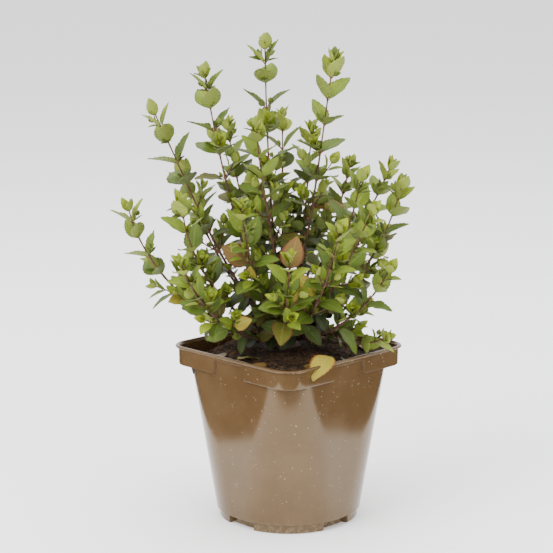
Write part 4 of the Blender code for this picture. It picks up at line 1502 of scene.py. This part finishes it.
@dataclass(frozen=True)
class Compost:
    """The compost's surface: a mound with a shrunken left corner, lumps and litter."""

    pot: Pot
    stock_x: float = -0.004
    level: float = 0.1655
    mound: float = 0.0065
    mound_reach: float = 0.045
    drop: float = 0.0085
    drop_start: float = 0.045
    drop_reach: float = 0.045
    pad: float = 0.0175
    lump: float = 0.0011
    shrinkage: float = 0.8
    rows: int = 46
    skirt: float = 0.012

    def height(self, x: float, y: float) -> float:
        """Height of the surface with its lumps."""
        away = max(0.0, math.hypot(x - self.stock_x, y) - self.pad)
        height = self.level + self.mound * math.exp(-((away / self.mound_reach) ** 2))
        height -= self.drop * ease((-x - self.drop_start) / self.drop_reach)
        lumps = math.sin(x * 410.0 + 2.0 * math.sin(y * 230.0))
        lumps *= math.sin(y * 370.0 + 1.7 * math.sin(x * 290.0))
        lumps += 0.7 * math.sin(x * 903.0 + y * 411.0) * math.sin(y * 1017.0 - x * 305.0)
        lumps += 0.4 * math.sin(x * 2100.0 + 3.0 * math.sin(y * 900.0)) * math.sin(y * 1900.0)
        return height + self.lump * lumps * ease(away / self.pad)

    def edge(self, column: tuple[float, int, bool]) -> tuple[float, float]:
        """Where the surface ends in one column, just clear of the pot."""
        inset = self.pot.wall + GAP
        half, corner = self.pot.wall_at(self.level - 0.002)
        wall = self.pot.point(column, half - inset, corner - inset, self.level)
        if abs(column[0]) <= self.pot.notch_foot:
            left = ease((-wall[0] - self.drop_start) / self.drop_reach)
            shrink = 1.0 - 0.006 * left
            return wall[0] * shrink, wall[1] * shrink
        half, corner = self.pot.collar_half - inset, self.pot.collar_corner - inset
        ledge = self.pot.point(column, half, corner, self.level)
        left = ease((-ledge[0] - self.drop_start) / self.drop_reach)
        share = 1.0 - self.shrinkage * left * (1.0 - math.hypot(*wall[:2]) / math.hypot(*ledge[:2]))
        return ledge[0] * share, ledge[1] * share

    def build(self) -> None:
        """Make the surface and the litter on it."""
        edges = [self.edge(column) for column in self.pot.columns()]
        rings = []
        for row in range(self.rows, 0, -1):
            share = row / self.rows
            ring = []
            for x, y in edges:
                x = self.stock_x + (x - self.stock_x) * share
                ring.append((x, y * share, self.height(x, y * share)))
            rings.append(ring)
        skirt = [(x * 0.97, y * 0.97, z - self.skirt) for x, y, z in rings[0]]
        rings.insert(0, skirt)
        width = len(edges)
        points = np.concatenate([np.array(rings).reshape(-1, 3),
                                 [[self.stock_x, 0.0, self.level + self.mound],
                                  [self.stock_x, 0.0, self.level - self.skirt]]])
        ring = np.arange(width)
        last = ring + (len(rings) - 1) * width
        hub = len(rings) * width
        skin = Skin()
        skin.add(points, [(ring_faces(len(rings), width), 0), (fan(last, hub, True), 0),
                          (fan(ring, hub + 1, False), 0)])
        shades = (linear(34, 26, 16), linear(92, 68, 42), linear(150, 110, 64))
        earth = CompostFinish("compost_earth", *shades).build()
        ground = skin.build("compost_surface", [earth])
        Plant.dress(ground, "compost", ["soil"])
        faces = ring_faces(self.rows - 6, width)
        patch = Skin()
        patch.add(np.array(rings[4:self.rows - 2]).reshape(-1, 3), [(faces, 0)])
        bed = patch.build("litter_bed", [earth])
        kinds = (
            (Litter("crumbs_dark", 26000.0, 0.0, 0.0009, 0.0, 0.35, 11, True),
             (30, 22, 16), (74, 52, 36), (96, 70, 46)),
            (Litter("crumbs_brown", 9000.0, 0.0, 0.0010, 0.0, 0.35, 21, True),
             (74, 48, 28), (128, 86, 50), (150, 112, 72)),
            (Litter("fibres_rust", 16000.0, 0.009, 0.00022, 0.0022, 0.4, 31),
             (104, 62, 34), (158, 102, 58), (182, 134, 84)),
            (Litter("fibres_dark", 14000.0, 0.014, 0.00032, 0.0038, 0.4, 41),
             (36, 26, 20), (78, 56, 40), (100, 74, 52)),
            (Litter("chips", 3200.0, 0.0045, 0.0009, 0.0004, 0.5, 51),
             (60, 42, 28), (116, 84, 56), (140, 108, 76)),
        )
        for litter, *shades in kinds:
            tones = [linear(*shade) for shade in shades]
            finish = CompostFinish(f"{litter.name}_finish", *tones, 900.0)
            piece = litter.scatter(bed, finish.build())
            Plant.dress(piece, "compost", ["soil"])
        bpy.data.objects.remove(bed, do_unlink=True)
        self.fallen()

    def fallen(self) -> None:
        """A few dropped leaves that lie on the compost and one over the rim."""
        spots = ((-0.052, -0.052, 0.4, Tint.YELLOW, 0.020), (-0.062, -0.030, 2.2, Tint.BRONZE, 0.017),
                 (0.012, -0.070, -0.5, Tint.BRONZE, 0.018), (0.052, -0.046, 1.0, Tint.OLIVE, 0.016),
                 (-0.020, -0.074, 2.7, Tint.BRONZE, 0.014), (0.030, 0.062, 1.9, Tint.BRONZE, 0.019),
                 (-0.030, 0.058, 0.2, Tint.YELLOW, 0.018), (0.070, 0.018, -1.1, Tint.BRONZE, 0.017))
        blade = Blade(9)
        skins: dict[Tint, Skin] = defaultdict(Skin)
        for number, (x, y, turn, tint, length) in enumerate(spots):
            source = draws("fallen", number)
            face = Vector((source.uniform(-0.3, 0.3), source.uniform(-0.3, 0.3), 1.0)).normalized()
            heading = Vector((math.cos(turn), math.sin(turn), 0.0))
            heading = (heading - face * heading.dot(face)).normalized()
            root = Vector((x, y, self.height(x, y) + 0.0022))
            blade.add(skins[tint], Leaf(root, heading, face, length, length * 0.6, 9), source)
        draped = Leaf(Vector((0.040, -0.074, 0.1815)), Vector((-0.50, -0.81, -0.31)).normalized(),
                      Vector((0.0, -0.35, 0.93)).normalized(), 0.0275, 0.0165, 9)
        blade.add(skins[Tint.YELLOW], draped, draws("draped"))
        for tint, skin in skins.items():
            piece = skin.build(f"fallen_{tint.name.lower()}", tint.materials())
            Plant.dress(piece, "leaf", ["soil"])


@dataclass(frozen=True)
class Studio:
    """Pale floor, soft lights, white surroundings and a dark frame seen in gloss only."""

    half: float = 20.0
    white: float = 0.93
    sky: float = 1.8
    hole: tuple[float, float, float] = (-0.28, -0.287, 0.305)
    flag_reach: float = 6.0

    def quad(self, name: str, corners: Sequence[tuple], material: Any) -> Any:
        """A flat four-cornered object."""
        mesh = bpy.data.meshes.new(name)
        mesh.from_pydata(corners, [], [(0, 1, 2, 3)])
        mesh.materials.append(material)
        made = bpy.data.objects.new(name, mesh)
        bpy.context.scene.collection.objects.link(made)
        return made

    def light(self, name: str, place: Sequence[float], size: float, power: float) -> None:
        """A soft square light that looks at the plant."""
        data = bpy.data.lights.new(name, "AREA")
        data.size = size
        data.energy = power
        made = bpy.data.objects.new(name, data)
        made.location = place
        made.rotation_euler = (Vector((0.0, 0.0, 0.22)) - Vector(place)).to_track_quat("-Z", "Y").to_euler()
        made.visible_glossy = False
        bpy.context.scene.collection.objects.link(made)

    def build(self) -> None:
        """Add floor, lights and surroundings."""
        world = bpy.data.worlds.new("white")
        world.use_nodes = True
        back = world.node_tree.nodes["Background"]
        back.inputs["Color"].default_value = (1.0, 1.0, 1.0, 1.0)
        back.inputs["Strength"].default_value = self.sky
        bpy.context.scene.world = world
        floor = Shader("floor_white")
        cloud = floor.noise(floor.place(), 3.0)
        floor.finish(Base_Color=floor.mix(cloud, (self.white,) * 3, (self.white - 0.01,) * 3),
                     Roughness=0.9, Specular_IOR_Level=0.0)
        reach = self.half
        corners = [(-reach, -reach, 0.0), (reach, -reach, 0.0), (reach, reach, 0.0), (-reach, reach, 0.0)]
        self.quad("floor", corners, floor.material)
        black = Shader("flag_black").finish(Base_Color=(0.01, 0.01, 0.01), Roughness=1.0)
        left, front, right = self.hole
        far = self.flag_reach
        z = 0.0004
        for name, corners in (
                ("flag_front", [(-far, -far, z), (far, -far, z), (far, front, z), (-far, front, z)]),
                ("flag_left", [(-far, front, z), (left, front, z), (left, far, z), (-far, far, z)]),
                ("flag_right", [(right, front, z), (far, front, z), (far, far, z), (right, far, z)])):
            flag = self.quad(name, corners, black)
            flag.visible_camera = False
            flag.visible_diffuse = False
            flag.visible_shadow = False
            flag.visible_transmission = False
        self.light("key", (-1.5, -1.3, 1.9), 1.4, 83.0)
        self.light("fill", (1.6, -1.5, 1.4), 1.8, 29.0)
        self.light("top", (0.1, 0.3, 2.4), 2.0, 61.0)


def main() -> None:
    """Build the scene in order: camera, studio, pot, compost, plant."""
    logging.basicConfig(level=logging.INFO)
    lens = Lens()
    lens.build()
    Studio().build()
    pot = Pot()
    pot.build()
    Compost(pot).build()
    Plant(Stock(), Rule(), lens).build()


if __name__ == "__main__":
    main()
